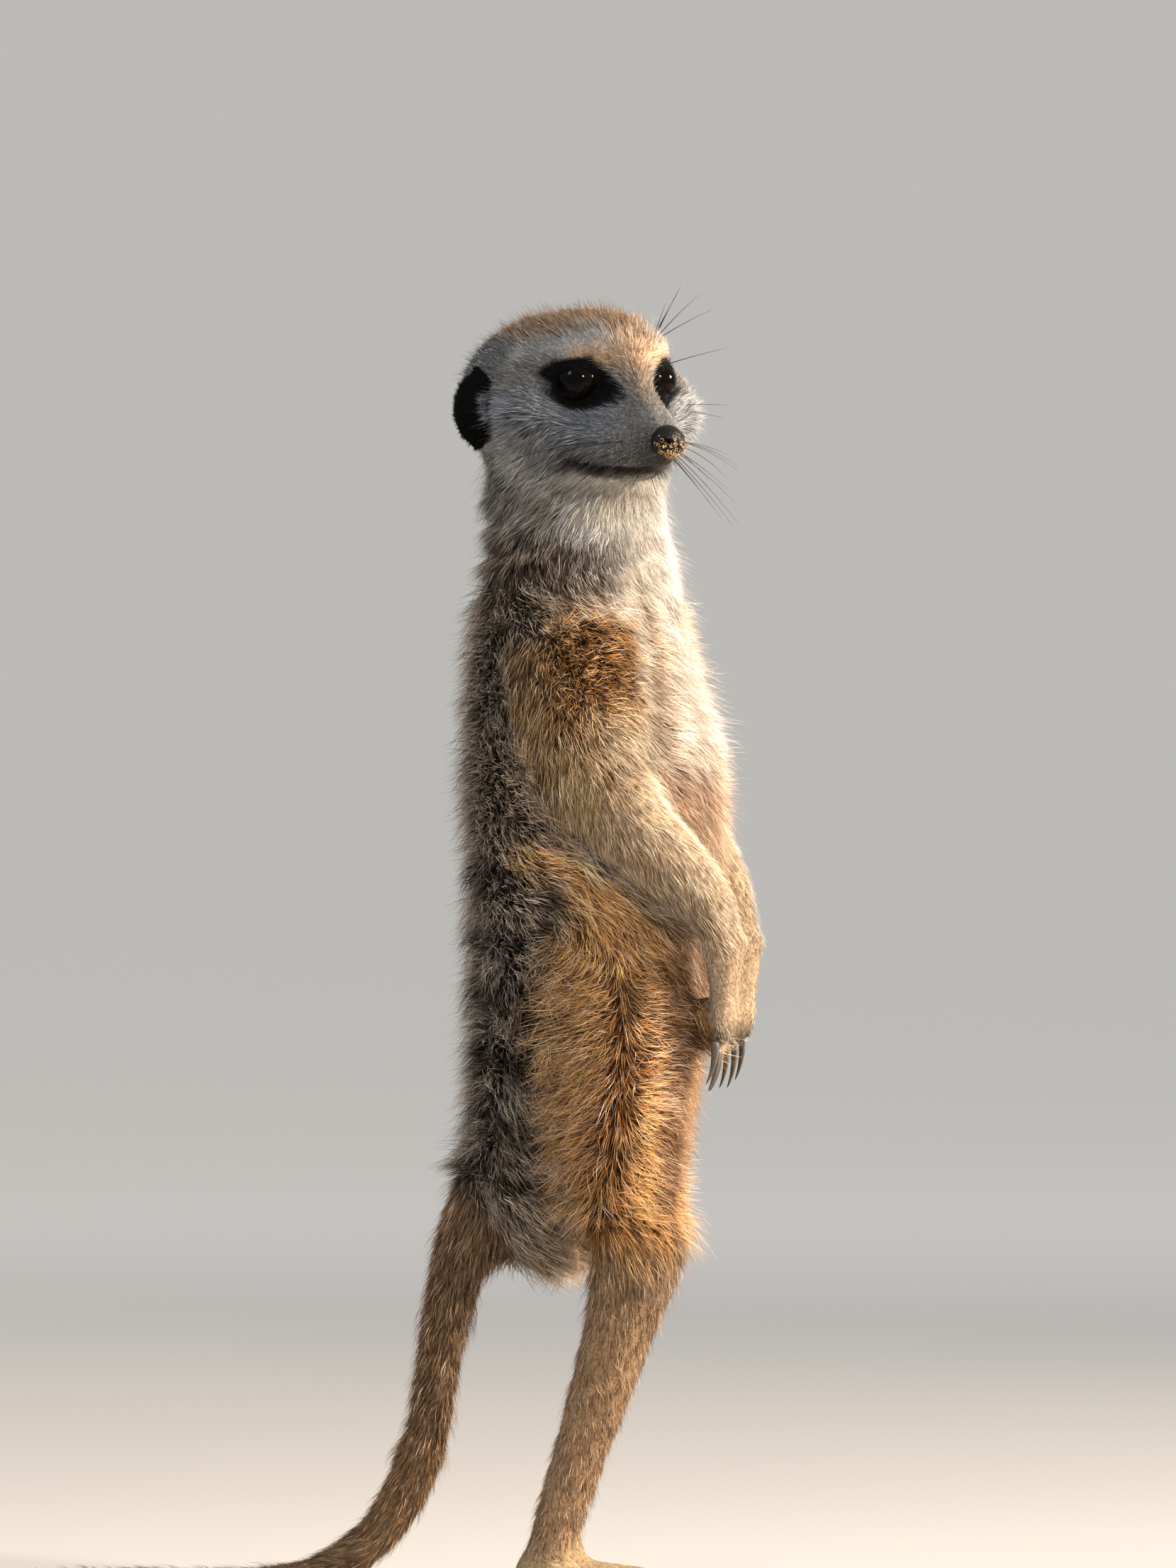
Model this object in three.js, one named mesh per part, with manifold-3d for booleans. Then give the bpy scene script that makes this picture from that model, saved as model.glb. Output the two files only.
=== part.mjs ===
// A life-size meerkat standing upright on its hind feet, arms hanging, head turned to its right.
// Millimetres, +Z up, the animal faces -Y and its left side is +X. The surface is the outline of the coat.
// The flesh is one blended field, meshed region by region and parted into its sub-parts with thin cuts.
import * as THREE from "three";
import { mergeVertices } from "three/addons/utils/BufferGeometryUtils.js";
import Module from "manifold-3d";

const wasm = await Module();
wasm.setup();

// ---- Driving dimensions ----
const CUT = 0.35; // gap left by each thin cut
// Cells of each region's grid across, along and up. They hold the whole model under 10,000 triangles.
const CELLS = {
  head: [14, 18, 13],
  torso: [10, 10, 20],
  upperArm: [7, 8, 11],
  hand: [10, 10, 12],
  thigh: [7, 12, 13],
  foot: [11, 16, 8],
  tailBase: [6, 9, 14],
  ear: [6, 6, 7],
};
const LIMB_ALLOWANCE = 2; // how far a limb's cut runs outside the limb at its root
const FREE_ALLOWANCE = 0.7; // and where the limb only lies against the body
const TUBE_SIDES = 8;
const RING_SIDES = 10; // sides of the limbs' and the tail's free lengths
const LIMB_GAP = 0.5; // gap round a limb where it parts from the torso
const HEAD_TURN = THREE.MathUtils.degToRad(-33); // about +Z, so the nose points to the animal's right
const EYE_RADIUS = 5.6;
const EYE_SIDE = 11; // eye centre from the head's middle
const EYE_HEIGHT = 300.5; // eye centres above the floor

// Body places are written as left, forward, up.
const at = (left, forward, up) => new THREE.Vector3(left, -forward, up);

// Stations of the torso from crotch to nape: height, forward, half depth, half width.
const TORSO = [
  { up: 98, forward: -8, deep: 17, side: 17 },
  { up: 110, forward: -4, deep: 24.5, side: 24.5 },
  { up: 127, forward: -1, deep: 28, side: 28 },
  { up: 152, forward: 0.6, deep: 28.6, side: 28.5 },
  { up: 175, forward: 2.2, deep: 31, side: 29.5 },
  { up: 197, forward: 3.2, deep: 33.4, side: 30 },
  { up: 214, forward: 1.6, deep: 31.8, side: 29 },
  { up: 230, forward: -0.6, deep: 28.8, side: 27.5 },
  { up: 245, forward: -1, deep: 26.6, side: 25.5 },
  { up: 258, forward: -1.5, deep: 23.6, side: 23.5 },
  { up: 269, forward: -2.3, deep: 22.2, side: 22 },
  { up: 281, forward: -3.4, deep: 23.2, side: 23 },
  { up: 291, forward: -5, deep: 19, side: 20 },
];
// The arms hang forward of the belly, the left one further back by so much at each station.
const LEFT_ARM_BACK = [0, 3, 7, 9.5, 8.8, 7, 5.2];
const ARM = [
  { at: [20, 3, 240], deep: 12.5, side: 10 },
  { at: [25, 8, 221], deep: 13.5, side: 10.5 },
  { at: [27, 14.5, 204], deep: 12.5, side: 9.5 },
  { at: [25, 26, 190.5], deep: 10.6, side: 9 },
  { at: [19.8, 34, 181.5], deep: 9.2, side: 8.2 },
  { at: [15, 39, 173.5], deep: 7.4, side: 7.2 },
  { at: [11.8, 41.2, 165.5], deep: 5.6, side: 6 },
];
// Hands and legs are written before their turns about the upright.
const HAND_TURN = THREE.MathUtils.degToRad(14);
const HAND = [
  { at: [11.6, 41.4, 164], deep: 5.4, side: 5.8 },
  { at: [11, 41.6, 155], deep: 4.3, side: 6 },
  { at: [10.4, 41.4, 147.5], deep: 3.6, side: 6.2 },
];
const HIP_TURN = THREE.MathUtils.degToRad(20);
const LEG = [
  { at: [14, 1, 168], deep: 20, side: 13 },
  { at: [19, 8, 147], deep: 22.5, side: 14.5 },
  { at: [21.5, 10.5, 127], deep: 19.2, side: 14 },
  { at: [22.5, 12.5, 108], deep: 14.8, side: 12 },
  { at: [23, 13.5, 92], deep: 12.4, side: 10.6 },
  { at: [23, 8.5, 70], deep: 9.8, side: 8.8 },
  { at: [22.5, 0, 43], deep: 7.8, side: 7.2 },
  { at: [22, -7, 21], deep: 7, side: 6.5 },
  { at: [21.5, -10, 9.5], deep: 7, side: 6.2 },
];
const FOOT = [
  { at: [21.5, -11, 6.4], deep: 7.2, side: 6.2 },
  { at: [22.5, 4, 5.9], deep: 6.8, side: 7 },
  { at: [23.5, 18, 4.6], deep: 5.4, side: 8.2 },
];
const TAIL = [
  { at: [0, -14, 114], deep: 12.5, side: 12.5 },
  { at: [0, -26, 101], deep: 11, side: 11 },
  { at: [-1, -33.5, 84], deep: 9, side: 9 },
  { at: [-2, -37, 65], deep: 8, side: 8 },
  { at: [-3, -41, 42], deep: 7.3, side: 7.3 },
  { at: [-4, -52, 20], deep: 6.8, side: 6.8 },
  { at: [-5, -72, 7.2], deep: 6.4, side: 6.4 },
  { at: [-5, -99, 5.2], deep: 5.8, side: 5.8 },
  { at: [-2, -127, 4.6], deep: 5.2, side: 5.2 },
  { at: [3, -151, 3.8], deep: 4.4, side: 4.4 },
  { at: [7, -163, 3], deep: 3.2, side: 3.2 },
];
// Heights of the level cuts, and of the one under the chin at the middle of the neck.
const NECK_TOP = 278.5;
const NECK_BASE = 251;
const WAIST = 176;
const ANKLE = 17;
// Where the limbs' and the tail's own cuts are, counted in stations along them.
const ELBOW = 2.2;
const KNEE = 3.6;
const TAIL_CUTS = [4, 7.4];

// ---- Fields: negative inside, roughly a distance in millimetres ----
// A blend of two fields whose crease is filled over the width k.
function blend(a, b, k) {
  const h = Math.max(k - Math.abs(a - b), 0) / k;
  return Math.min(a, b) - h * h * k * 0.25;
}

function carve(a, b, k) {
  return -blend(-a, b, k);
}

const ease = (low, high, x) => THREE.MathUtils.smoothstep(x, low, high);

function ellipsoid([cx, cy, cz], [rx, ry, rz]) {
  return (x, y, z) => {
    const ax = (x - cx) / rx;
    const ay = (y - cy) / ry;
    const az = (z - cz) / rz;
    const near = Math.hypot(ax, ay, az);
    const slope = Math.hypot(ax / rx, ay / ry, az / rz);
    return slope < 1e-9 ? -Math.min(rx, ry, rz) : (near * (near - 1)) / slope;
  };
}

// A smooth line through the stations, with several steps between each pair.
function finely(stations, steps) {
  const line = new THREE.CatmullRomCurve3(
    stations.map((s) => s.point),
    false,
    "centripetal",
  );
  const count = (stations.length - 1) * steps;
  return Array.from({ length: count + 1 }, (_, i) => {
    const share = i / steps;
    const a = stations[Math.min(Math.floor(share), stations.length - 1)];
    const b = stations[Math.min(Math.floor(share) + 1, stations.length - 1)];
    const part = THREE.MathUtils.smoothstep(share - Math.floor(share), -0.35, 1.35);
    return {
      point: line.getPoint(i / count),
      deep: THREE.MathUtils.lerp(a.deep, b.deep, part),
      side: THREE.MathUtils.lerp(a.side, b.side, part),
    };
  });
}

// A body of elliptical sections along a smooth line. Side is measured along one level direction.
function sweep(stations, steps = 4, sideways = new THREE.Vector3(1, 0, 0)) {
  const joints = finely(stations, steps);
  const pieces = joints.slice(1).map((end, i) => {
    const start = joints[i];
    const along = end.point.clone().sub(start.point);
    const length = along.length();
    along.normalize();
    const across = sideways.clone().addScaledVector(along, -along.dot(sideways)).normalize();
    const depth = along.clone().cross(across);
    return { start, end, along, length, across, depth };
  });
  const reach = new THREE.Box3().setFromPoints(joints.map((j) => j.point));
  const middle = reach.getCenter(new THREE.Vector3());
  const radius = Math.max(...joints.map((j) => j.point.distanceTo(middle) + Math.max(j.deep, j.side)));
  return (x, y, z) => {
    const far = Math.hypot(x - middle.x, y - middle.y, z - middle.z) - radius;
    if (far > 12) return far;
    let nearest = Infinity;
    for (const { start, end, along, length, across, depth } of pieces) {
      const px = x - start.point.x;
      const py = y - start.point.y;
      const pz = z - start.point.z;
      const run = px * along.x + py * along.y + pz * along.z;
      const t = Math.min(Math.max(run / length, 0), 1);
      const side = start.side + (end.side - start.side) * t;
      const deep = start.deep + (end.deep - start.deep) * t;
      const past = run - t * length;
      const u = px * across.x + py * across.y + pz * across.z;
      const v = px * depth.x + py * depth.y + pz * depth.z;
      const mean = Math.min(side, deep);
      const near = Math.hypot(u / side, v / deep, past / mean);
      const slope = Math.hypot(u / side / side, v / deep / deep, past / mean / mean);
      const d = slope < 1e-9 ? -Math.min(side, deep) : (near * (near - 1)) / slope;
      if (d < nearest) nearest = d;
    }
    return nearest;
  };
}

// Stations of the left or right limb, each with its point in the body's frame.
const placed = (stations, sign = 1, back = () => 0) =>
  stations.map(({ at: [left, forward, up], deep, side }, i) => ({
    point: at(sign * left, forward - back(i), up),
    deep,
    side,
  }));

// The same stations turned about an upright axis.
function turned(stations, angle, axis = new THREE.Vector3()) {
  const up = new THREE.Vector3(0, 0, 1);
  return stations.map((s) => ({
    ...s,
    point: s.point.clone().sub(axis).applyAxisAngle(up, angle).add(axis),
  }));
}

const level = (angle) => new THREE.Vector3(Math.cos(angle), Math.sin(angle), 0);

// ---- The head, in its own frame: x left, y back, z up, origin midway between the eye centres ----
const headPlace = new THREE.Matrix4()
  .makeRotationZ(HEAD_TURN)
  .setPosition(at(-13.9, 13.8, EYE_HEIGHT));
const headInverse = headPlace.clone().invert();

function headField() {
  const pair = (left, forward, up, radii) =>
    [1, -1].map((s) => ellipsoid([s * left, -forward, up], radii));
  const cranium = ellipsoid([0, 19.5, -1.5], [23.6, 25, 19.4]);
  const temples = pair(12.5, -23, -1.5, [14, 16, 12.4]);
  const forehead = ellipsoid([0, 4, 7.4], [15.6, 15.6, 9.4]);
  const cheeks = pair(14.5, -9, -8, [15.6, 14, 12.6]);
  const jowls = pair(8, 2, -14.5, [9.5, 13, 7.6]);
  const brows = pair(9.6, -0.5, 6.4, [7.6, 7, 4.6]);
  const muzzle = sweep(
    placed([
      { at: [0, -4, -9], deep: 11, side: 13 },
      { at: [0, 9, -11.8], deep: 8.4, side: 9.6 },
      { at: [0, 16.5, -14.2], deep: 6.5, side: 7.1 },
      { at: [0, 21, -15.8], deep: 5, side: 5.6 },
    ]),
  );
  const bridge = sweep(
    placed([
      { at: [0, -8, 8], deep: 8, side: 9 },
      { at: [0, 3, 2.4], deep: 6, side: 5.8 },
      { at: [0, 12, -5], deep: 4.6, side: 4.6 },
      { at: [0, 20, -11.8], deep: 3.4, side: 3.8 },
    ]),
  );
  const jaw = sweep(
    placed([
      { at: [0, -14, -16], deep: 9, side: 12 },
      { at: [0, 2, -19.2], deep: 6.6, side: 8.6 },
      { at: [0, 15, -20], deep: 4.4, side: 5.2 },
    ]),
  );
  const sockets = pair(EYE_SIDE + 4.4, 5.6, 0, [6.4, 5, 5]);
  return (x, y, z) => {
    let d = cranium(x, y, z);
    d = blend(d, forehead(x, y, z), 6);
    for (const f of [...temples, ...cheeks]) d = blend(d, f(x, y, z), 7);
    d = blend(d, muzzle(x, y, z), 6);
    d = blend(d, jaw(x, y, z), 4);
    for (const f of jowls) d = blend(d, f(x, y, z), 4);
    d = blend(d, bridge(x, y, z), 4);
    for (const f of brows) d = blend(d, f(x, y, z), 5);
    for (const f of sockets) d = carve(d, f(x, y, z), 3.5);
    return d;
  };
}

function inHead(field) {
  const m = headInverse.elements;
  return (x, y, z) =>
    field(
      m[0] * x + m[4] * y + m[8] * z + m[12],
      m[1] * x + m[5] * y + m[9] * z + m[13],
      m[2] * x + m[6] * y + m[10] * z + m[14],
    );
}

// ---- The whole body ----
const torso = sweep(
  TORSO.map(({ up, forward, deep, side }) => ({ point: at(0, forward, up), deep, side })),
);
const head = inHead(headField());
const tail = sweep(placed(TAIL));
const SIDES = ["left", "right"];
const signOf = (side) => (side === "left" ? 1 : -1);
const both = (make) => ({ left: make(1), right: make(-1) });

// Four digits side by side: how far each is from the middle, and how much shorter the outer ones are.
const FAN = [-1.5, -0.5, 0.5, 1.5];
const FINGERS = FAN.map((fan) => [
  { at: [10.4 + fan * 2.8, 41.4, 148], deep: 3, side: 2.4 },
  { at: [10 + fan * 3.1, 41, 142 + fan * fan * 0.9], deep: 2.6, side: 2 },
  { at: [9.8 + fan * 3.2, 39.8, 138.4 + fan * fan * 0.9], deep: 2.1, side: 1.7 },
]);
const TOES = FAN.map((fan) => [
  { at: [23.5 + fan * 3.9, 18 - fan * fan * 1.6, 3.6], deep: 4, side: 3 },
  { at: [24 + fan * 4.5, 27 - fan * fan * 1.6, 3.2], deep: 3.6, side: 2.7 },
  { at: [24.2 + fan * 4.9, 33.5 - fan * fan * 1.6, 2.5], deep: 2.9, side: 2.3 },
]);

// Each limb's stations where they stand.
const armBack = (sign) => (i) => (sign > 0 ? LEFT_ARM_BACK[i] : 0);
const armLines = both((sign) => placed(ARM, sign, armBack(sign)));
const handLine = (stations, sign) => {
  const wrist = at(sign * ARM.at(-1).at[0], ARM.at(-1).at[1] - armBack(sign)(ARM.length - 1), 0);
  return turned(placed(stations, sign, () => armBack(sign)(ARM.length - 1)), -sign * HAND_TURN, wrist);
};
const legLine = (stations, sign) => turned(placed(stations, sign), HIP_TURN);
const legLines = both((sign) => legLine(LEG, sign));

// A palm or sole with its four digits. Each digit ends where its claw begins.
function paw(palm, digits, sideways) {
  const sole = sweep(palm, 3, sideways);
  const toes = digits.map((d) => sweep(d, 2, sideways));
  return (x, y, z) => {
    let d = sole(x, y, z);
    for (const f of toes) d = blend(d, f(x, y, z), 1.4);
    return d;
  };
}

const arms = both((sign) => sweep(armLines[sign > 0 ? "left" : "right"]));
const legs = both((sign) => sweep(legLines[sign > 0 ? "left" : "right"], 4, level(HIP_TURN)));
const hands = both((sign) =>
  paw(
    handLine(HAND, sign),
    FINGERS.map((d) => handLine(d, sign)),
    level(-sign * HAND_TURN),
  ),
);
const feet = both((sign) =>
  paw(
    legLine(FOOT, sign),
    TOES.map((d) => legLine(d, sign)),
    level(HIP_TURN),
  ),
);

// Everything but the arms, then everything. The limbs run smoothly into the body at their roots.
function armless(x, y, z) {
  let d = blend(torso(x, y, z), head(x, y, z), 9);
  d = blend(d, tail(x, y, z), 9);
  const legBlend = 1.2 + 9 * ease(92, 120, z);
  for (const side of SIDES) {
    d = blend(d, legs[side](x, y, z), legBlend);
    d = blend(d, feet[side](x, y, z), 3);
  }
  return d;
}

function withArms(x, y, z, fade = 0) {
  let d = armless(x, y, z);
  const armBlend = 0.8 + 7 * ease(196, 222, z);
  for (const side of SIDES) {
    const arm = blend(arms[side](x, y, z), hands[side](x, y, z), 3);
    d = blend(d, arm + fade, armBlend);
  }
  return d;
}

const whole = (x, y, z) => withArms(x, y, z);
// The torso keeps only the roots of the arms.
const trunkField = (x, y, z) => withArms(x, y, z, 60 * (1 - ease(188, 206, z)));

// The corners of a cell are numbered by bits, x first. Its edges join corners one bit apart.
const CELL_EDGES = [0, 1, 2, 3, 4, 5, 6, 7].flatMap((corner) =>
  [1, 2, 4].filter((bit) => !(corner & bit)).map((bit) => [corner, corner | bit]),
);

// Groups the crossed edges of a cell into the separate sheets of surface that pass through it.
function loopsOf(v) {
  const owner = CELL_EDGES.map(([a, b], e) => (v[a] < 0 === v[b] < 0 ? -1 : e));
  const join = (e, f) => {
    const from = owner[f];
    const to = owner[e];
    owner.forEach((o, n) => {
      if (o === from) owner[n] = to;
    });
  };
  for (const bit of [1, 2, 4])
    for (const level of [0, bit]) {
      const onFace = CELL_EDGES.map((_, e) => e).filter(
        (e) => owner[e] >= 0 && CELL_EDGES[e].every((c) => (c & bit) === level),
      );
      if (onFace.length === 2) join(onFace[0], onFace[1]);
      if (onFace.length === 4)
        for (let c = 0; c < 8; c++) {
          const touching = onFace.filter((e) => v[c] < 0 && CELL_EDGES[e].includes(c));
          if (touching.length === 2) join(touching[0], touching[1]);
        }
    }
  return [...new Set(owner.filter((o) => o >= 0))].map((o) =>
    owner.map((_, e) => e).filter((e) => owner[e] === o),
  );
}

// ---- Meshing: a vertex in each crossed cell, settled on the surface, and a quad for each crossed edge ----
function meshField(field, low, high, counts, turn = new THREE.Matrix4()) {
  const [nx, ny, nz] = counts;
  const size = high.clone().sub(low);
  const place = (i, j, k) =>
    new THREE.Vector3(
      low.x + (size.x * i) / nx,
      low.y + (size.y * j) / ny,
      low.z + (size.z * k) / nz,
    ).applyMatrix4(turn);
  const value = (p) => field(p.x, p.y, p.z);
  const row = nx + 1;
  const sheet = row * (ny + 1);
  const values = new Float64Array(sheet * (nz + 1));
  for (let k = 0; k <= nz; k++)
    for (let j = 0; j <= ny; j++)
      for (let i = 0; i <= nx; i++) {
        const rim = i === 0 || j === 0 || k === 0 || i === nx || j === ny || k === nz;
        values[i + j * row + k * sheet] = rim ? 1 : value(place(i, j, k));
      }
  const corners = [0, 1, 2, 3, 4, 5, 6, 7].map((c) => [c & 1, (c >> 1) & 1, c >> 2]);
  const cellVertex = new Map();
  const position = [];
  const settle = (p) => {
    const step = 0.05;
    for (let n = 0; n < 3; n++) {
      const d = value(p);
      const slope = new THREE.Vector3(
        field(p.x + step, p.y, p.z) - d,
        field(p.x, p.y + step, p.z) - d,
        field(p.x, p.y, p.z + step) - d,
      ).divideScalar(step);
      p.addScaledVector(slope, (-0.7 * d) / Math.max(slope.lengthSq(), 0.25));
    }
    return p;
  };
  for (let k = 0; k < nz; k++)
    for (let j = 0; j < ny; j++)
      for (let i = 0; i < nx; i++) {
        const v = corners.map(([a, b, c]) => values[i + a + (j + b) * row + (k + c) * sheet]);
        if (v.every((x) => x < 0) || v.every((x) => x >= 0)) continue;
        for (const loop of loopsOf(v)) {
          const sum = [0, 0, 0];
          for (const e of loop) {
            const [a, b] = CELL_EDGES[e];
            const t = v[a] / (v[a] - v[b]);
            corners[a].forEach((c, axis) => (sum[axis] += c + (corners[b][axis] - c) * t));
          }
          const [x, y, z] = sum.map((s) => s / loop.length);
          const key = (i + j * row + k * sheet) * 12;
          for (const e of loop) cellVertex.set(key + e, position.length / 3);
          const capped = [i, j, k, nx - 1 - i, ny - 1 - j, nz - 1 - k].includes(0);
          const p = place(i + x, j + y, k + z);
          position.push(...(capped ? p : settle(p)).toArray());
        }
      }
  const index = [];
  const strides = [1, row, sheet];
  const vertex = (n) => new THREE.Vector3().fromArray(position, n * 3);
  for (let k = 0; k < nz; k++)
    for (let j = 0; j < ny; j++)
      for (let i = 0; i < nx; i++) {
        const here = i + j * row + k * sheet;
        strides.forEach((along, axis) => {
          const inside = values[here] < 0;
          if (inside === values[here + along] < 0) return;
          const u = (axis + 1) % 3;
          const v = (axis + 2) % 3;
          const around = [
            [0, 0],
            [1, 0],
            [1, 1],
            [0, 1],
          ];
          const quad = around.map(([a, b]) => {
            const cell = here - a * strides[u] - b * strides[v];
            const corner = (a << u) | (b << v);
            const e = CELL_EDGES.findIndex(([p, q]) => p === corner && q === (corner | (1 << axis)));
            return cellVertex.get(cell * 12 + e);
          });
          if (inside) quad.reverse();
          const [a, b, c, d] = quad;
          const flip = vertex(a).distanceTo(vertex(c)) > vertex(b).distanceTo(vertex(d));
          index.push(...(flip ? [a, d, b, b, d, c] : [a, c, b, a, d, c]));
        });
      }
  const geometry = new THREE.BufferGeometry();
  geometry.setAttribute("position", new THREE.Float32BufferAttribute(position, 3));
  geometry.setIndex(index);
  return geometry;
}

// ---- Solids ----
function solid(geometry) {
  const bare = geometry.clone();
  bare.deleteAttribute("normal");
  bare.deleteAttribute("uv");
  const merged = mergeVertices(bare, 1e-4);
  return new wasm.Manifold(
    new wasm.Mesh({
      numProp: 3,
      vertProperties: merged.attributes.position.array,
      triVerts: new Uint32Array(merged.index.array),
    }),
  );
}

function geometryOf(made) {
  const { vertProperties, triVerts } = made.getMesh();
  return new THREE.BufferGeometry()
    .setAttribute("position", new THREE.BufferAttribute(vertProperties, 3))
    .setIndex(new THREE.BufferAttribute(triVerts, 1));
}

// The largest body of a solid, without the slivers that a cut can leave.
function mainBody(made) {
  return made.decompose().reduce((a, b) => (a.volume() > b.volume() ? a : b));
}

// A slab box whose lower face is at the origin of its frame, used as a half space.
function halfSpace(point, normal, sink = 0) {
  const reach = 400;
  const box = new THREE.BoxGeometry(reach, reach, reach).translate(0, 0, reach / 2 + sink);
  const turn = new THREE.Quaternion().setFromUnitVectors(
    new THREE.Vector3(0, 0, 1),
    normal.clone().normalize(),
  );
  return solid(box.applyQuaternion(turn).translate(point.x, point.y, point.z));
}

// Cuts a solid with a plane and gives both sides, with the gap between them.
function part(made, point, normal) {
  const beyond = made.intersect(halfSpace(point, normal, CUT / 2));
  const before = made.subtract(halfSpace(point, normal, -CUT / 2));
  return [before, beyond];
}

// Chops a limb across its line at several stations.
function chop(made, stations, cuts) {
  const line = stations.map((s) => s.point);
  const pieces = [];
  let rest = made;
  for (const i of cuts) {
    const before = line[Math.max(Math.floor(i - 0.5), 0)];
    const after = line[Math.min(Math.ceil(i + 0.5), line.length - 1)];
    const point = line[Math.floor(i)].clone().lerp(line[Math.ceil(i)], i % 1);
    const [first, second] = part(rest, point, after.clone().sub(before));
    pieces.push(mainBody(first));
    rest = second;
  }
  return [...pieces, mainBody(rest)];
}

const meshBox = (low, high) => [new THREE.Vector3(...low), new THREE.Vector3(...high)];

// ---- Materials, from the colours of the coat ----
const finish = (color, roughness, metalness = 0) =>
  new THREE.MeshStandardMaterial({ color, roughness, metalness });
const materials = {
  face: finish(0xb9ad9c, 0.9),
  grizzled: finish(0x8d7a62, 0.9),
  cream: finish(0xc4ae8c, 0.9),
  tan: finish(0xb08650, 0.9),
  black: finish(0x17130f, 0.85),
  eye: finish(0x1a0f08, 0.1),
  claw: finish(0x3d3730, 0.45),
  leather: finish(0x1d1918, 0.5),
};

const group = new THREE.Group();
const nodes = [];
function add(name, made, material) {
  const mesh = new THREE.Mesh(made.isBufferGeometry ? made : geometryOf(made), material);
  mesh.name = name;
  nodes.push(mesh);
  group.add(mesh);
}

// ---- Eyes, nose, ears: solids of their own that are let into the head ----
function eyeBall(sign, grow = 0) {
  return new THREE.SphereGeometry(EYE_RADIUS + grow, 10, 7)
    .rotateX(Math.PI / 2)
    .translate(sign * EYE_SIDE, 0, 0)
    .applyMatrix4(headPlace);
}

function nosePad(grow = 0) {
  return new THREE.SphereGeometry(1, 9, 6)
    .scale(4.3 + grow, 3.8 + grow, 4.1 + grow)
    .translate(0, -22.8, -15.2)
    .applyMatrix4(headPlace);
}

// A low rounded flap whose back edge stands clear of the head, dished on its outer face.
function earSolid(sign, grow = 0) {
  const plate = ellipsoid([0, 0, 0], [3.2 + grow, 6.6 + grow, 10 + grow]);
  const dish = ellipsoid([4.3, -1.2, 0], [3.2 - grow, 4.2 - grow, 6.6 - grow]);
  const field = (x, y, z) => carve(plate(x, y, z), dish(x, y, z), 1);
  const turn = new THREE.Matrix4()
    .makeRotationZ(THREE.MathUtils.degToRad(-24 * sign))
    .setPosition(sign * 26.6, 23, -6.8)
    .premultiply(headPlace);
  if (sign < 0) turn.multiply(new THREE.Matrix4().makeRotationZ(Math.PI));
  const mirrored = sign < 0 ? (x, y, z) => field(x, -y, z) : field;
  const inverse = turn.clone().invert().elements;
  const world = (x, y, z) =>
    mirrored(
      inverse[0] * x + inverse[4] * y + inverse[8] * z + inverse[12],
      inverse[1] * x + inverse[5] * y + inverse[9] * z + inverse[13],
      inverse[2] * x + inverse[6] * y + inverse[10] * z + inverse[14],
    );
  return solid(meshField(world, ...meshBox([-6, -9, -13], [6, 9, 13]), CELLS.ear, turn));
}

// ---- Claws: a cone bent along an arc, flattened sideways ----
function claw({ length, thick, curl, point, pitch, yaw, grow = 0 }) {
  const cone = new THREE.ConeGeometry(thick + grow, length, 5, 3).translate(0, length / 2, 0);
  const places = cone.attributes.position;
  const arc = length / curl;
  for (let i = 0; i < places.count; i++) {
    const share = places.getY(i) / length;
    const angle = curl * share;
    const out = places.getZ(i);
    places.setXYZ(
      i,
      places.getX(i) * 0.72,
      Math.sin(angle) * (arc - out),
      arc - Math.cos(angle) * (arc - out),
    );
  }
  return cone
    .rotateX(pitch)
    .rotateZ(yaw)
    .translate(point.x, point.y, point.z);
}

// ---- Build the flesh ----
const eyes = { left: solid(eyeBall(1)), right: solid(eyeBall(-1)) };
const nose = solid(nosePad());
const ears = { left: earSolid(1), right: earSolid(-1) };

// A claw is made twice: as it is, and grown to clear its place in the digit.
const FINGER_CLAW = { length: 13, thick: 1.45, curl: 0.75, pitch: -Math.PI / 2 - 0.12 };
const TOE_CLAW = { length: 9, thick: 1.35, curl: 0.7, pitch: Math.PI - 0.15 };
function clawsOf(digits, kind, rise, yaw) {
  return digits.map((d) => {
    const point = d.at(-1).point.clone();
    point.z += rise;
    return [0, CUT].map((grow) => solid(claw({ ...kind, point, yaw, grow })));
  });
}
const fingerClaws = both((sign) =>
  clawsOf(
    FINGERS.map((d) => handLine(d, sign)),
    FINGER_CLAW,
    0.6,
    -sign * HAND_TURN,
  ),
);
const toeClaws = both((sign) =>
  clawsOf(
    TOES.map((d) => legLine(d, sign)),
    TOE_CLAW,
    0.2,
    HIP_TURN,
  ),
);

// The head parts from the neck along a plane that drops towards the chin.
const throat = [
  new THREE.Vector3(0, 20, NECK_TOP - EYE_HEIGHT).applyMatrix4(headPlace),
  new THREE.Vector3(0, -0.22, 1).transformDirection(headPlace),
];
const headBox = meshBox([-34, -36, -34], [34, 52, 24]);
let skull = solid(meshField(whole, ...headBox, CELLS.head, headPlace));
skull = skull.intersect(halfSpace(...throat, CUT / 2));
for (const side of SIDES) {
  const sign = signOf(side);
  skull = skull.subtract(solid(eyeBall(sign, CUT))).subtract(earSolid(sign, CUT));
}
add("head", mainBody(skull.subtract(solid(nosePad(CUT)))), materials.face);

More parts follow.
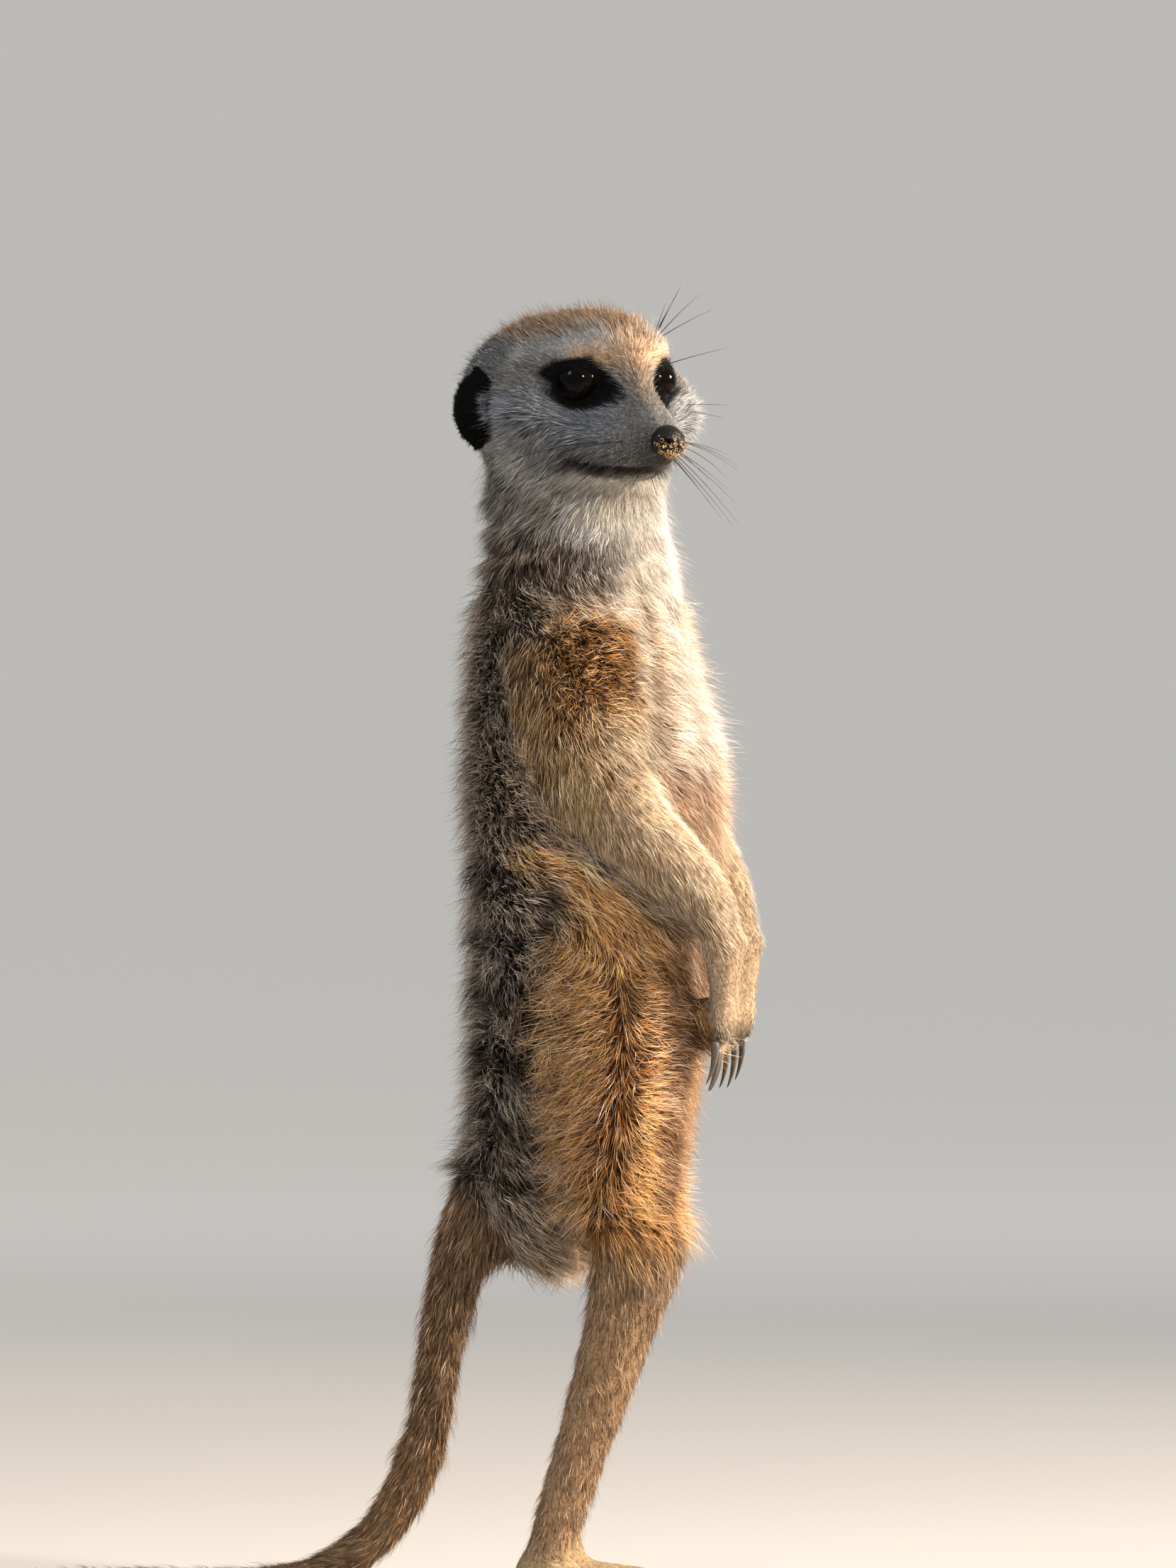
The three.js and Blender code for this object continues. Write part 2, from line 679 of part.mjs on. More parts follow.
// A closed tube whose rings are given as points across and in depth of each station.
function tube(stations, sideways, ringOf) {
  const places = [];
  const index = [];
  const last = stations.length - 1;
  stations.forEach((station, i) => {
    const before = stations[Math.max(i - 1, 0)].point;
    const along = stations[Math.min(i + 1, last)].point.clone().sub(before).normalize();
    const across = sideways.clone().addScaledVector(along, -along.dot(sideways)).normalize();
    const depth = along.clone().cross(across);
    for (const [u, v] of ringOf(station, i))
      places.push(station.point.clone().addScaledVector(across, u).addScaledVector(depth, v));
  });
  const round = places.length / stations.length;
  for (let i = 0; i < last; i++)
    for (let j = 0; j < round; j++) {
      const a = i * round + j;
      const b = i * round + ((j + 1) % round);
      index.push(a, b, a + round, b, b + round, a + round);
    }
  for (let j = 1; j < round - 1; j++) {
    const top = last * round;
    index.push(0, j + 1, j, top, top + j, top + j + 1);
  }
  return solid(new THREE.BufferGeometry().setFromPoints(places).setIndex(index));
}

function ring(side, deep, count) {
  return Array.from({ length: count }, (_, n) => {
    const angle = (2 * Math.PI * (n + 0.5)) / count;
    return [side * Math.cos(angle), deep * Math.sin(angle)];
  });
}

// The tube a limb is cut with stands a little outside the limb. What it leaves is cut a little wider.
function roundTube(stations, sideways, grow) {
  const corner = 1 / Math.cos(Math.PI / TUBE_SIDES);
  return tube(stations, sideways, ({ deep, side }, i) => {
    const outside = grow + (i < 3 ? LIMB_ALLOWANCE : FREE_ALLOWANCE);
    return ring((side + outside) * corner, (deep + outside) * corner, TUBE_SIDES);
  });
}

// A free length is rings round its line. Their corners stand as far outside the section as their
// sides lie inside it.
function freeLength(joints, sideways) {
  const corner = 1 / Math.sqrt(Math.cos(Math.PI / RING_SIDES));
  return tube(joints, sideways, ({ deep, side }) => ring(side * corner, deep * corner, RING_SIDES));
}

// Two more joints that round off the end of a line.
function rounded(joints) {
  const { point, deep } = joints.at(-1);
  const along = point.clone().sub(joints.at(-2).point).normalize();
  const tips = [0.6, 0.95].map((out) => {
    const radius = deep * Math.sqrt(1 - out * out);
    return { point: point.clone().addScaledVector(along, out * deep), deep: radius, side: radius };
  });
  return [...joints, ...tips];
}

// A leg's share of the body is all that is beside its line in side view, clear of the body's middle.
function legTube(side, sign, grow) {
  const [hip, ...line] = legLines[side].slice(1);
  const crest = [
    { ...hip, point: hip.point.clone().add(at(0, 1, 23)), deep: hip.deep * 0.42 },
    { ...hip, point: hip.point.clone().add(at(0, 0.5, 17)), deep: hip.deep * 0.85 },
    { ...hip, deep: hip.deep + LIMB_ALLOWANCE },
  ];
  return tube([...crest, ...line], level(HIP_TURN), ({ point, deep }) => {
    const outward = sign * (point.x * Math.cos(HIP_TURN) + point.y * Math.sin(HIP_TURN));
    const inner = THREE.MathUtils.lerp(4.5, 17, ease(104, 165, point.z)) - outward - grow;
    const outer = 34 + grow;
    const half = deep + 1.5 + grow;
    const ring = [
      [sign * inner, -half],
      [sign * outer, -half],
      [sign * outer, half],
      [sign * inner, half],
    ];
    return sign > 0 ? ring : ring.reverse();
  });
}

const sided = (sign, [x0, y0, z0], [x1, y1, z1]) =>
  sign > 0 ? meshBox([x0, y0, z0], [x1, y1, z1]) : meshBox([-x1, y0, z0], [-x0, y1, z1]);
const within = (field, allowance) => (x, y, z) =>
  Math.max(whole(x, y, z), field(x, y, z) - allowance);

const ground = halfSpace(at(0, 0, 0), new THREE.Vector3(0, 0, 1));
const cutters = [];
for (const side of SIDES) {
  const sign = signOf(side);
  const armBox = sided(sign, [0, -40, 182], [46, 22, 262]);
  const armTube = (grow) => roundTube(armLines[side], level(0), grow);
  const rootOfArm = solid(meshField(whole, ...armBox, CELLS.upperArm)).intersect(armTube(0));
  const [upperArm] = chop(rootOfArm, armLines[side], [ELBOW]);
  const freeArm = freeLength(finely(armLines[side], 2), level(0)).intersect(armTube(0));
  const [, forearm] = chop(freeArm, armLines[side], [ELBOW]);
  add(`upper_arm_${side}`, upperArm, materials.tan);
  add(`forearm_${side}`, forearm, materials.cream);
  cutters.push(armTube(LIMB_GAP));

  const handBox = sided(sign, [-2, -62, 130], [26, -22, 176]);
  const fullHand = solid(meshField(within(hands[side], 1.4), ...handBox, CELLS.hand));
  let hand = fullHand.subtract(armTube(CUT));
  for (const [, grown] of fingerClaws[side]) hand = hand.subtract(grown);
  add(`hand_${side}`, mainBody(hand), materials.cream);

  const legBox = sided(sign, [-4, -62, 84], [50, 34, 192]);
  const rootOfLeg = solid(meshField(armless, ...legBox, CELLS.thigh)).intersect(legTube(side, sign, 0));
  const [thigh] = chop(rootOfLeg, legLines[side], [KNEE]);
  add(`thigh_${side}`, thigh, materials.tan);
  const freeLeg = freeLength(finely(legLines[side], 2), level(HIP_TURN)).intersect(legTube(side, sign, 0));
  const [, lower] = chop(freeLeg, legLines[side], [KNEE]);
  const [, shank] = part(lower, at(0, 0, ANKLE), new THREE.Vector3(0, 0, 1));
  add(`shank_${side}`, mainBody(shank), materials.tan);
  cutters.push(legTube(side, sign, LIMB_GAP));

  const lowest = (x, y, z) => Math.min(legs[side](x, y, z), feet[side](x, y, z));
  const footBox = sided(sign, [4, -58, -6], [48, 26, 26]);
  const fullFoot = solid(meshField(within(lowest, 2.4), ...footBox, CELLS.foot)).intersect(ground);
  let foot = part(fullFoot, at(0, 0, ANKLE), new THREE.Vector3(0, 0, 1))[0];
  for (const [, grown] of toeClaws[side]) foot = foot.subtract(grown);
  add(`foot_${side}`, mainBody(foot), materials.tan);

  add(`eye_${side}`, eyes[side], materials.eye);
  add(`ear_${side}`, ears[side], materials.black);
  fingerClaws[side].forEach(([made], i) =>
    add(`finger_claw_${side}_${i + 1}`, made, materials.claw),
  );
  toeClaws[side].forEach(([made], i) => add(`toe_claw_${side}_${i + 1}`, made, materials.claw));
}
add("nose", nose, materials.leather);

// The tail leaves the rump across a plane just inside it.
const tailBox = meshBox([-20, -6, 30], [20, 58, 145]);
const root = [at(0, -24.5, 103), new THREE.Vector3(0, 1, -1)];
const tailLine = placed(TAIL);
const tailTube = (grow) => roundTube(tailLine.slice(0, 5), level(0), grow);
const rootOfTail = solid(meshField(within(tail, LIMB_ALLOWANCE), ...tailBox, CELLS.tailBase));
const [tailBase] = chop(rootOfTail.intersect(halfSpace(...root, 0)), tailLine, [TAIL_CUTS[0]]);
const freeTail = freeLength(rounded(finely(tailLine, 2)), level(0)).intersect(ground);
const [, tailMiddle, tailTip] = chop(freeTail, tailLine, TAIL_CUTS);
add("tail_base", tailBase, materials.cream);
add("tail_middle", tailMiddle, materials.cream);
add("tail_tip", tailTip, materials.black);
cutters.push(tailTube(LIMB_GAP).intersect(halfSpace(...root, -CUT)));

// The torso is what the limbs leave, in three lengths.
let trunk = solid(meshField(trunkField, ...meshBox([-48, -50, 80], [48, 50, 302]), CELLS.torso));
for (const made of cutters) trunk = trunk.subtract(made);
trunk = trunk.subtract(halfSpace(...throat, -CUT / 2));
const [belly, upper] = part(trunk, at(0, 0, WAIST), new THREE.Vector3(0, 0, 1));
const [chest, neck] = part(upper, at(0, 0, NECK_BASE), new THREE.Vector3(0, -0.12, 1));
add("neck", mainBody(neck), materials.face);
add("chest", mainBody(chest), materials.grizzled);
add("belly", mainBody(belly), materials.grizzled);

// The origin is at the middle of the whole model's box, at the floor.
const bounds = new THREE.Box3().setFromObject(group);
const middle = bounds.getCenter(new THREE.Vector3());
for (const mesh of nodes) mesh.geometry.translate(-middle.x, -middle.y, -bounds.min.z);

export default group;
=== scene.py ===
import math
import bpy
import numpy as np
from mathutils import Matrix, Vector, noise
from mathutils.bvhtree import BVHTree
from mathutils.kdtree import KDTree


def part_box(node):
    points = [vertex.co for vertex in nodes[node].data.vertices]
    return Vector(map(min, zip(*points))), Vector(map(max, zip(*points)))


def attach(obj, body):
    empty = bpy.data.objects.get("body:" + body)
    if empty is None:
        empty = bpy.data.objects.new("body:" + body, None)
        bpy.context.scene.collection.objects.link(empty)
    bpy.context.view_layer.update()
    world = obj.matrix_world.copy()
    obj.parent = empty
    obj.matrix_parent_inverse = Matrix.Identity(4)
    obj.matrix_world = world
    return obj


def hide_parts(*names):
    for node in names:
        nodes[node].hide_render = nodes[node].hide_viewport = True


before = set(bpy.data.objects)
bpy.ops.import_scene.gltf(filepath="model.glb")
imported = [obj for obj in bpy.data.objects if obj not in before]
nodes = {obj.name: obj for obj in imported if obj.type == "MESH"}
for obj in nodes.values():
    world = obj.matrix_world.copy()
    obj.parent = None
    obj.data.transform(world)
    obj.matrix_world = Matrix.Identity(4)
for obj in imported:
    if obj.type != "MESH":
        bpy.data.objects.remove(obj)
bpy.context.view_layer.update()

# A still, life-size meerkat: one skin under a coat of mesh tufts, with eyes, nose, ears, claws and whiskers.
mm = 0.001
notFlesh = ("eye", "ear", "nose", "finger_claw", "toe_claw")
fleshNodes = sorted(n for n in nodes if not n.startswith(notFlesh))
sideSign = {"left": 1, "right": -1}
chance = np.random.default_rng(11)


# Small helpers

def middleOf(node):
    low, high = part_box(node)
    return (low + high) / 2


def newMesh(name, places, faces):
    mesh = bpy.data.meshes.new(name)
    mesh.from_pydata(np.array(places).tolist(), [], faces)
    return mesh


def newObject(name, data):
    piece = bpy.data.objects.new(name, data)
    bpy.context.scene.collection.objects.link(piece)
    return piece


def deselectAll():
    bpy.ops.object.select_all(action="DESELECT")


def choose(piece):
    deselectAll()
    piece.select_set(True)
    bpy.context.view_layer.objects.active = piece


def smooth(piece):
    choose(piece)
    bpy.ops.object.shade_smooth()


def applyModifier(piece, kind, **settings):
    choose(piece)
    bpy.ops.object.modifier_add(type=kind)
    modifier = piece.modifiers[-1]
    for key, value in settings.items():
        setattr(modifier, key, value)
    bpy.ops.object.modifier_apply(modifier=modifier.name)


def editAll(piece, operator, **settings):  # runs one operator on the whole mesh
    choose(piece)
    bpy.ops.object.mode_set(mode="EDIT")
    bpy.ops.mesh.select_all(action="SELECT")
    operator(**settings)
    bpy.ops.object.mode_set(mode="OBJECT")


def copyOfNodes(names, name):  # one mesh of the nodes' own shapes, its loose triangles merged
    deselectAll()
    for node in names:
        piece = newObject(name, nodes[node].data.copy())
        piece.select_set(True)
        bpy.context.view_layer.objects.active = piece
    if len(names) > 1:
        bpy.ops.object.join()
    piece.name = name
    piece.data.materials.clear()
    editAll(piece, bpy.ops.mesh.remove_doubles, threshold=0.02 * mm)
    return piece


def roundedCopy(names, name):
    piece = copyOfNodes(names, name)
    applyModifier(piece, "SUBSURF", levels=2, render_levels=2)
    smooth(piece)
    return piece


def read(items, key, wide, kind=float):  # one property of every vertex, edge or corner, as rows
    values = np.empty(len(items) * wide, kind)
    items.foreach_get(key, values)
    return values.reshape(-1, wide)


def placesOf(mesh):
    return read(mesh.vertices, "co", 3)


def normalsOf(mesh):
    return read(mesh.vertex_normals, "vector", 3)


def trianglesOf(mesh):
    mesh.calc_loop_triangles()
    return read(mesh.loop_triangles, "vertices", 3, int)


def setPlaces(mesh, places):
    mesh.vertices.foreach_set("co", places.astype(np.float32).ravel())
    mesh.update()


def store(mesh, name, values):  # a number or a colour for each vertex
    values = np.asarray(values, np.float32)
    if values.ndim == 1:
        mesh.attributes.new(name, "FLOAT", "POINT").data.foreach_set("value", values)
    else:
        full = np.pad(values, ((0, 0), (0, 1)), constant_values=1)
        mesh.attributes.new(name, "FLOAT_COLOR", "POINT").data.foreach_set("color", full.ravel())


def spread(mesh, values, rounds, share=0.5):  # draws each vertex's values towards its neighbours' mean
    a, b = read(mesh.edges, "vertices", 2, int).T
    count = len(mesh.vertices)
    valence = np.maximum(np.bincount(a, minlength=count) + np.bincount(b, minlength=count), 1)
    made = np.array(values, float).reshape(count, -1)
    for _ in range(rounds):
        for k in range(made.shape[1]):
            column = made[:, k]
            total = np.bincount(a, column[b], count) + np.bincount(b, column[a], count)
            made[:, k] = column + share * (total / valence - column)
    return made.reshape(np.shape(values))


def lengths(vectors):
    return np.linalg.norm(vectors, axis=-1)


def unit(vectors):
    return vectors / np.maximum(lengths(vectors)[..., None], 1e-12)


def rows(x, y, z):  # vectors from their three coordinates
    return np.stack(np.broadcast_arrays(x, y, z), 1)


def ease(low, high, x):  # 0 below low, 1 above high, smooth between
    t = np.clip((x - low) / (high - low), 0, 1)
    return t * t * (3 - 2 * t)


def hill(x, width):
    return np.exp(-(x / width) ** 2)


def patchy(places, size, seed=0.0):  # smooth noise from -1 to 1 with lumps of about that size
    scale = 1 / size
    return np.array([noise.noise(Vector((p[0] * scale + seed, p[1] * scale, p[2] * scale))) for p in places])


def linear(code):  # an sRGB hex value as the linear colour that shaders take
    channels = [int(code[i:i + 2], 16) / 255 for i in (1, 3, 5)]
    return np.array([c / 12.92 if c <= 0.04045 else ((c + 0.055) / 1.055) ** 2.4 for c in channels])


def shaderColour(code):
    return (*linear(code), 1.0)


def newMaterial(name):
    material = bpy.data.materials.new(name)
    material.use_nodes = True
    return material


def fillSockets(material, node, inputs):  # sets each socket, or links another node's output to it
    for key, value in inputs.items():
        if isinstance(value, bpy.types.NodeSocket):
            material.node_tree.links.new(value, node.inputs[key])
        else:
            node.inputs[key].default_value = value


def addNode(material, kind, inputs={}, **settings):  # one node with its settings and links
    node = material.node_tree.nodes.new("ShaderNode" + kind)
    for key, value in settings.items():
        setattr(node, key, value)
    fillSockets(material, node, inputs)
    return node.outputs


# Mixes two tones by a share. bump is a pattern, its strength and its depth in mm, below 0 where it is sunk.
def finishMaterial(material, share, tones, sockets, bump=None):
    dark, light = (shaderColour(tone) if isinstance(tone, str) else tone for tone in tones)
    colour = addNode(material, "Mix", {0: share, 6: dark, 7: light}, data_type="RGBA")[2]
    inputs = {"Base Color": colour, **sockets}
    if bump:
        height, strength, depth = bump
        raised = {"Strength": strength, "Distance": abs(depth) * mm, "Height": height}
        inputs["Normal"] = addNode(material, "Bump", raised, invert=depth < 0)["Normal"]
    fillSockets(material, material.node_tree.nodes["Principled BSDF"], inputs)
    return material


# A material whose tones, and bump if it has one, follow one fine texture
def finePattern(name, tones, sockets, texture, inputs, bump=None, stretch=None):
    material = newMaterial(name)
    place = addNode(material, "TexCoord")["Object"]
    if stretch:
        place = addNode(material, "Mapping", {"Vector": place, "Scale": stretch})["Vector"]
    share = addNode(material, texture, {"Vector": place, **inputs})[0]
    return finishMaterial(material, share, tones, sockets, (share, *bump) if bump else None)


def finishPiece(piece, material, slot, *replaced):
    piece.data.materials.clear()
    piece.data.materials.append(material)
    if replaced:
        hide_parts(*replaced)
    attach(piece, "root")


# The head's own frame: left, back and up from the point midway between the eyes

eyeCentres = {side: middleOf("eye_" + side) for side in sideSign}
eyeLow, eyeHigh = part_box("eye_left")
eyeRadius = (eyeHigh.z - eyeLow.z) / 2
headMiddle = (eyeCentres["left"] + eyeCentres["right"]) / 2
headLeft = (eyeCentres["left"] - eyeCentres["right"]).normalized()
headUp = Vector((0, 0, 1))
headBack = headUp.cross(headLeft)
headAxes = np.array([headLeft, headBack, headUp])


def inHead(places):  # left, back and up in millimetres
    return (places - np.array(headMiddle)) @ headAxes.T / mm


def fromHead(left, back, up):
    return headMiddle + (headLeft * left + headBack * back + headUp * up) * mm


noseTip = inHead(np.array([middleOf("nose")]))[0]
bellyMiddle = np.array(middleOf("belly"))


def inBody(places):  # left and forward of the belly's middle, and height, in millimetres
    return (places[:, 0] - bellyMiddle[0]) / mm, -(places[:, 1] - bellyMiddle[1]) / mm, places[:, 2] / mm


eyeSet = {"gaze": 40, "lift": 4, "halfWide": 53, "halfHigh": 30, "lid": 0.3}  # degrees, lid in mm


def eyePlace(places, side):  # across to the outer corner, up, out along the gaze, and distance, in mm
    turn, lift = math.radians(eyeSet["gaze"]), math.radians(eyeSet["lift"])
    sideways = headLeft * sideSign[side]
    level = sideways * math.sin(turn) - headBack * math.cos(turn)
    gaze = np.array((level * math.cos(lift) + headUp * math.sin(lift)).normalized())
    outer = np.array((sideways * math.cos(turn) + headBack * math.sin(turn)).normalized())
    rise = np.cross(gaze, outer)
    rise *= np.sign(rise[2])
    offset = (places - np.array(eyeCentres[side])) / mm
    across, up, out = offset @ outer, offset @ rise, offset @ gaze
    return across, up, out, np.sqrt(across ** 2 + up ** 2 + out ** 2)


# What each part of the coat is like: tuft length and width in mm, the lift of the hair at its root and tip in
# degrees, how unevenly it lies, tufts to a square millimetre, the coat's depth in mm, the skin's smoothing.

growKeys = ("length", "width", "rise", "settle", "wild", "density")
coatKeys = (*growKeys, "depth", "smooth")
coatSet = {
    "head": (3.6, 0.26, 30, 14, 0.14, 6.0, 1.5, 9),
    "neck": (6.8, 0.25, 36, 18, 0.22, 3.2, 3.0, 40),
    "chest": (10.0, 0.32, 38, 16, 0.22, 3.0, 4.4, 60),
    "belly": (10.5, 0.32, 36, 16, 0.24, 3.0, 4.4, 60),
    "upper_arm": (7.5, 0.3, 36, 16, 0.26, 3.2, 3.2, 45),
    "forearm": (4.6, 0.26, 24, 8, 0.18, 4.4, 1.5, 22),
    "hand": (2.2, 0.22, 18, 4, 0.14, 7.0, 0.45, 4),
    "thigh": (10.5, 0.3, 46, 26, 0.48, 3.0, 4.4, 50),
    "shank": (5.0, 0.27, 24, 8, 0.2, 3.6, 1.8, 22),
    "foot": (2.4, 0.23, 16, 4, 0.14, 6.0, 0.5, 5),
    "tail_base": (6.5, 0.3, 26, 8, 0.2, 3.2, 2.4, 25),
    "tail_middle": (5.0, 0.27, 22, 6, 0.16, 3.6, 1.6, 18),
    "tail_tip": (5.0, 0.27, 20, 4, 0.14, 4.0, 1.5, 12),
}
regions = sorted(coatSet)


def regionOf(node):
    for side in sideSign:
        node = node.removesuffix("_" + side)
    return node if node in coatSet else "head"


def surfaceLookup():  # finds the region of the nearest CAD face
    corners, faces, owners = [], [], []
    for node in fleshNodes + ["eye_left", "eye_right", "nose"]:
        mesh = nodes[node].data
        start = len(corners)
        corners += [v.co.copy() for v in mesh.vertices]
        for face in mesh.polygons:
            faces.append([start + v for v in face.vertices])
            owners.append(regions.index(regionOf(node)))
    return BVHTree.FromPolygons(corners, faces), np.array(owners)


lookup, faceRegion = surfaceLookup()


def regionsOf(places):
    return faceRegion[[lookup.find_nearest(Vector(p))[2] for p in places]]


def regionValues(labels, key):
    return np.array([coatSet[name][coatKeys.index(key)] for name in regions])[labels]


def within(labels, *names):
    return np.isin(labels, [regions.index(name) for name in names])


# The skin

skinSet = {"grow": 0.45, "voxel": 1.05, "rounds": 60}  # millimetres and rounds of smoothing
foldSet = {"high": 0.6, "apart": 8.0}  # creases where the neck is turned, in mm
hairDepth = {"cheek": 1.2, "cheekbone": 1.2, "muzzle": 0.8, "hollow": 1.6}  # more or less than coatSet, in mm


def subdivideNear(piece, centre, reach):
    choose(piece)
    bpy.ops.object.mode_set(mode="EDIT")
    bpy.ops.mesh.select_mode(type="VERT")
    bpy.ops.mesh.select_all(action="DESELECT")
    bpy.ops.object.mode_set(mode="OBJECT")
    near = lengths(placesOf(piece.data) - np.array(centre)) < reach
    piece.data.vertices.foreach_set("select", near)
    bpy.ops.object.mode_set(mode="EDIT")
    bpy.ops.mesh.subdivide(number_cuts=1)
    bpy.ops.object.mode_set(mode="OBJECT")


def cheekOf(head):  # 1 on the puffed sides of the face
    return ease(10, 16, np.abs(head[:, 0])) * ease(0, -8, head[:, 2]) * ease(23, 12, head[:, 1])


def frontOf(left, forward):  # how far forward a point is on its own side of the turned trunk
    return forward * 0.92 - np.abs(left) * 0.39


def breastEdge(left, forward, height):  # how far past the line between shoulder and breast, and where it runs
    past = frontOf(left, forward) - np.interp(height, [215, 238, 255], [14.8, 12.5, 10])
    return past, ease(206, 216, height) * ease(258, 250, height)


def makeSkin():
    skin = copyOfNodes(fleshNodes + ["eye_left", "eye_right", "nose"], "skin")
    applyModifier(skin, "DISPLACE", strength=skinSet["grow"] * mm, mid_level=0)
    applyModifier(skin, "REMESH", mode="VOXEL", voxel_size=skinSet["voxel"] * mm)
    mesh = skin.data
    labels = regionsOf(placesOf(mesh))
    share = spread(mesh, 0.5 * regionValues(labels, "smooth") / skinSet["rounds"], 10)
    setPlaces(mesh, spread(mesh, placesOf(mesh), skinSet["rounds"], share))
    depth = spread(mesh, regionValues(labels, "depth") + skinSet["grow"], 14)
    head = inHead(placesOf(mesh))
    left, forward, height = inBody(placesOf(mesh))
    onHead = spread(mesh, within(labels, "head"), 6)
    depth += hairDepth["cheek"] * cheekOf(head) * onHead
    # the cheeks start a little below the eyes, the muzzle has short hair, and the hair sinks before the ear
    cheekbone = rows(np.abs(head[:, 0]) - 20, np.abs(head[:, 1]) - 4, head[:, 2] + 4) / [6, 8, 4]
    depth += hairDepth["cheekbone"] * hill(lengths(cheekbone), 1) * onHead
    depth -= hairDepth["muzzle"] * ease(24, 8, lengths(head - noseTip)) * onHead
    depth += hairDepth["hollow"] * hill(lengths(np.abs(head) - [24, 15, 6]), 8) * onHead
    # shallow folds round the side of the neck that the head is turned to
    wave = np.cos((height - 262 - 0.22 * forward - 0.1 * left) * 2 * math.pi / foldSet["apart"])
    reach = ease(247, 256, height) * ease(279, 270, height) * ease(8, -6, left) * (head[:, 2] < -20)
    depth -= foldSet["high"] * wave * reach
    past, edge = breastEdge(left, forward, height)
    depth += (1.5 * hill(past - 3.5, 2.6) - 0.9 * hill(past + 0.5, 3)) * edge
    setPlaces(mesh, placesOf(mesh) - normalsOf(mesh) * (depth * mm)[:, None])
    setPlaces(mesh, spread(mesh, placesOf(mesh), 2))
    for side in sideSign:
        subdivideNear(skin, eyeCentres[side], 11 * mm)
        subdivideNear(skin, eyeCentres[side], 9 * mm)
    subdivideNear(skin, fromHead(0, -16, -18), 11 * mm)
    return skin


lipSet = {"deep": 1.0, "wide": 0.8, "out": 0.45}  # of the line of the mouth, and the lower lip, in mm


def lipHeight(back):  # the height of the lip line along the muzzle, front to corner
    return np.interp(back, [-26, -21, -15, -8, -2, 2], [-20.6, -21.2, -21.7, -21.2, -18.6, -16.4])


def lidEdge(across, up, out):  # distance outside the lids' opening, in mm
    a = np.degrees(np.arctan2(across, out))
    b = np.degrees(np.arctan2(up, np.hypot(out, across))) + 0.10 * a  # the inner corner lies lower
    reach = np.clip(1 - (a / eyeSet["halfWide"]) ** 2, 0, 1)
    half = eyeSet["halfHigh"] * reach ** 0.62 * np.where(b > 0, 0.92, 1.0)
    past = np.maximum(np.abs(a) - eyeSet["halfWide"], 0)
    return np.where(past > 0, np.hypot(past, b), np.abs(b) - half) * math.radians(1) * eyeRadius / mm


def sculptFace(skin):  # lids round the eyes, sockets and the line of the mouth
    places = placesOf(skin.data)
    radius = eyeRadius / mm
    for side in sideSign:
        across, up, out, distance = eyePlace(places, side)
        edge = lidEdge(across, up, out)
        near = (distance < 11) & (out > -2)
        lid = radius + eyeSet["lid"] + 0.1 * hill(edge - 0.6, 0.5) + 0.2 * edge
        shape = np.where(edge < 0, radius - 0.9, lid)
        blend = np.where(edge < 0, 1.0, 1 - ease(0.6, 3.6, edge))
        target = distance * (1 - blend) + shape * blend
        scale = np.where(near, target / np.maximum(distance, 1e-6), 1)
        centre = np.array(eyeCentres[side])
        places = centre + (places - centre) * scale[:, None]
        softly = 0.5 * near * ease(0.15, 0.5, edge) * ease(11, 9, distance)
        places = spread(skin.data, places, 14, softly)
    head = inHead(places)
    front = (head[:, 1] < 4) & (np.abs(head[:, 0]) < 15) & (head[:, 2] < -12)
    line = head[:, 2] - lipHeight(head[:, 1])
    groove = lipSet["deep"] * hill(line, lipSet["wide"]) * ease(4, 0, head[:, 1]) * front
    groove -= lipSet["out"] * hill(line + 1.9, 1.1) * ease(2, -6, head[:, 1]) * front
    setPlaces(skin.data, places - normalsOf(skin.data) * (groove * mm)[:, None])


skin = makeSkin()
sculptFace(skin)
print("skin:", len(skin.data.vertices), "vertices")


# The lie of the coat: which way the hair runs at each point of the skin

limbLines = {  # the two nodes whose middles each limb's hair runs between
    "upper_arm": ("upper_arm", "forearm"), "forearm": ("forearm", "hand"), "hand": ("forearm", "hand"),
    "shank": ("shank", "foot"),
}
thighSet = {"top": 191, "partHeight": [93, 110, 134, 154], "parting": [12, 16.5, 19.3, 18.8]}  # in mm


def archHeight(forward):  # the upper edge of the thigh's golden coat
    return thighSet["top"] - 0.026 * np.maximum(forward + 8, 0) ** 1.9


def partingAt(height):  # how far forward of the belly's middle the hair of the thigh parts
    return np.interp(height, thighSet["partHeight"], thighSet["parting"])


def haunch(places, normals):  # 1 on the outer side of the hips and thighs
    _, forward, height = inBody(places)
    outer = ease(0.15, 0.55, np.abs(normals[:, 0]))
    under = ease(5, -8, height - archHeight(forward))
    nearTop = ease(14, 4, archHeight(forward) - height)
    reach = np.maximum(ease(-2, 6, forward), nearTop * ease(-16, -8, forward))
    return outer * under * reach * ease(80, 104, height)


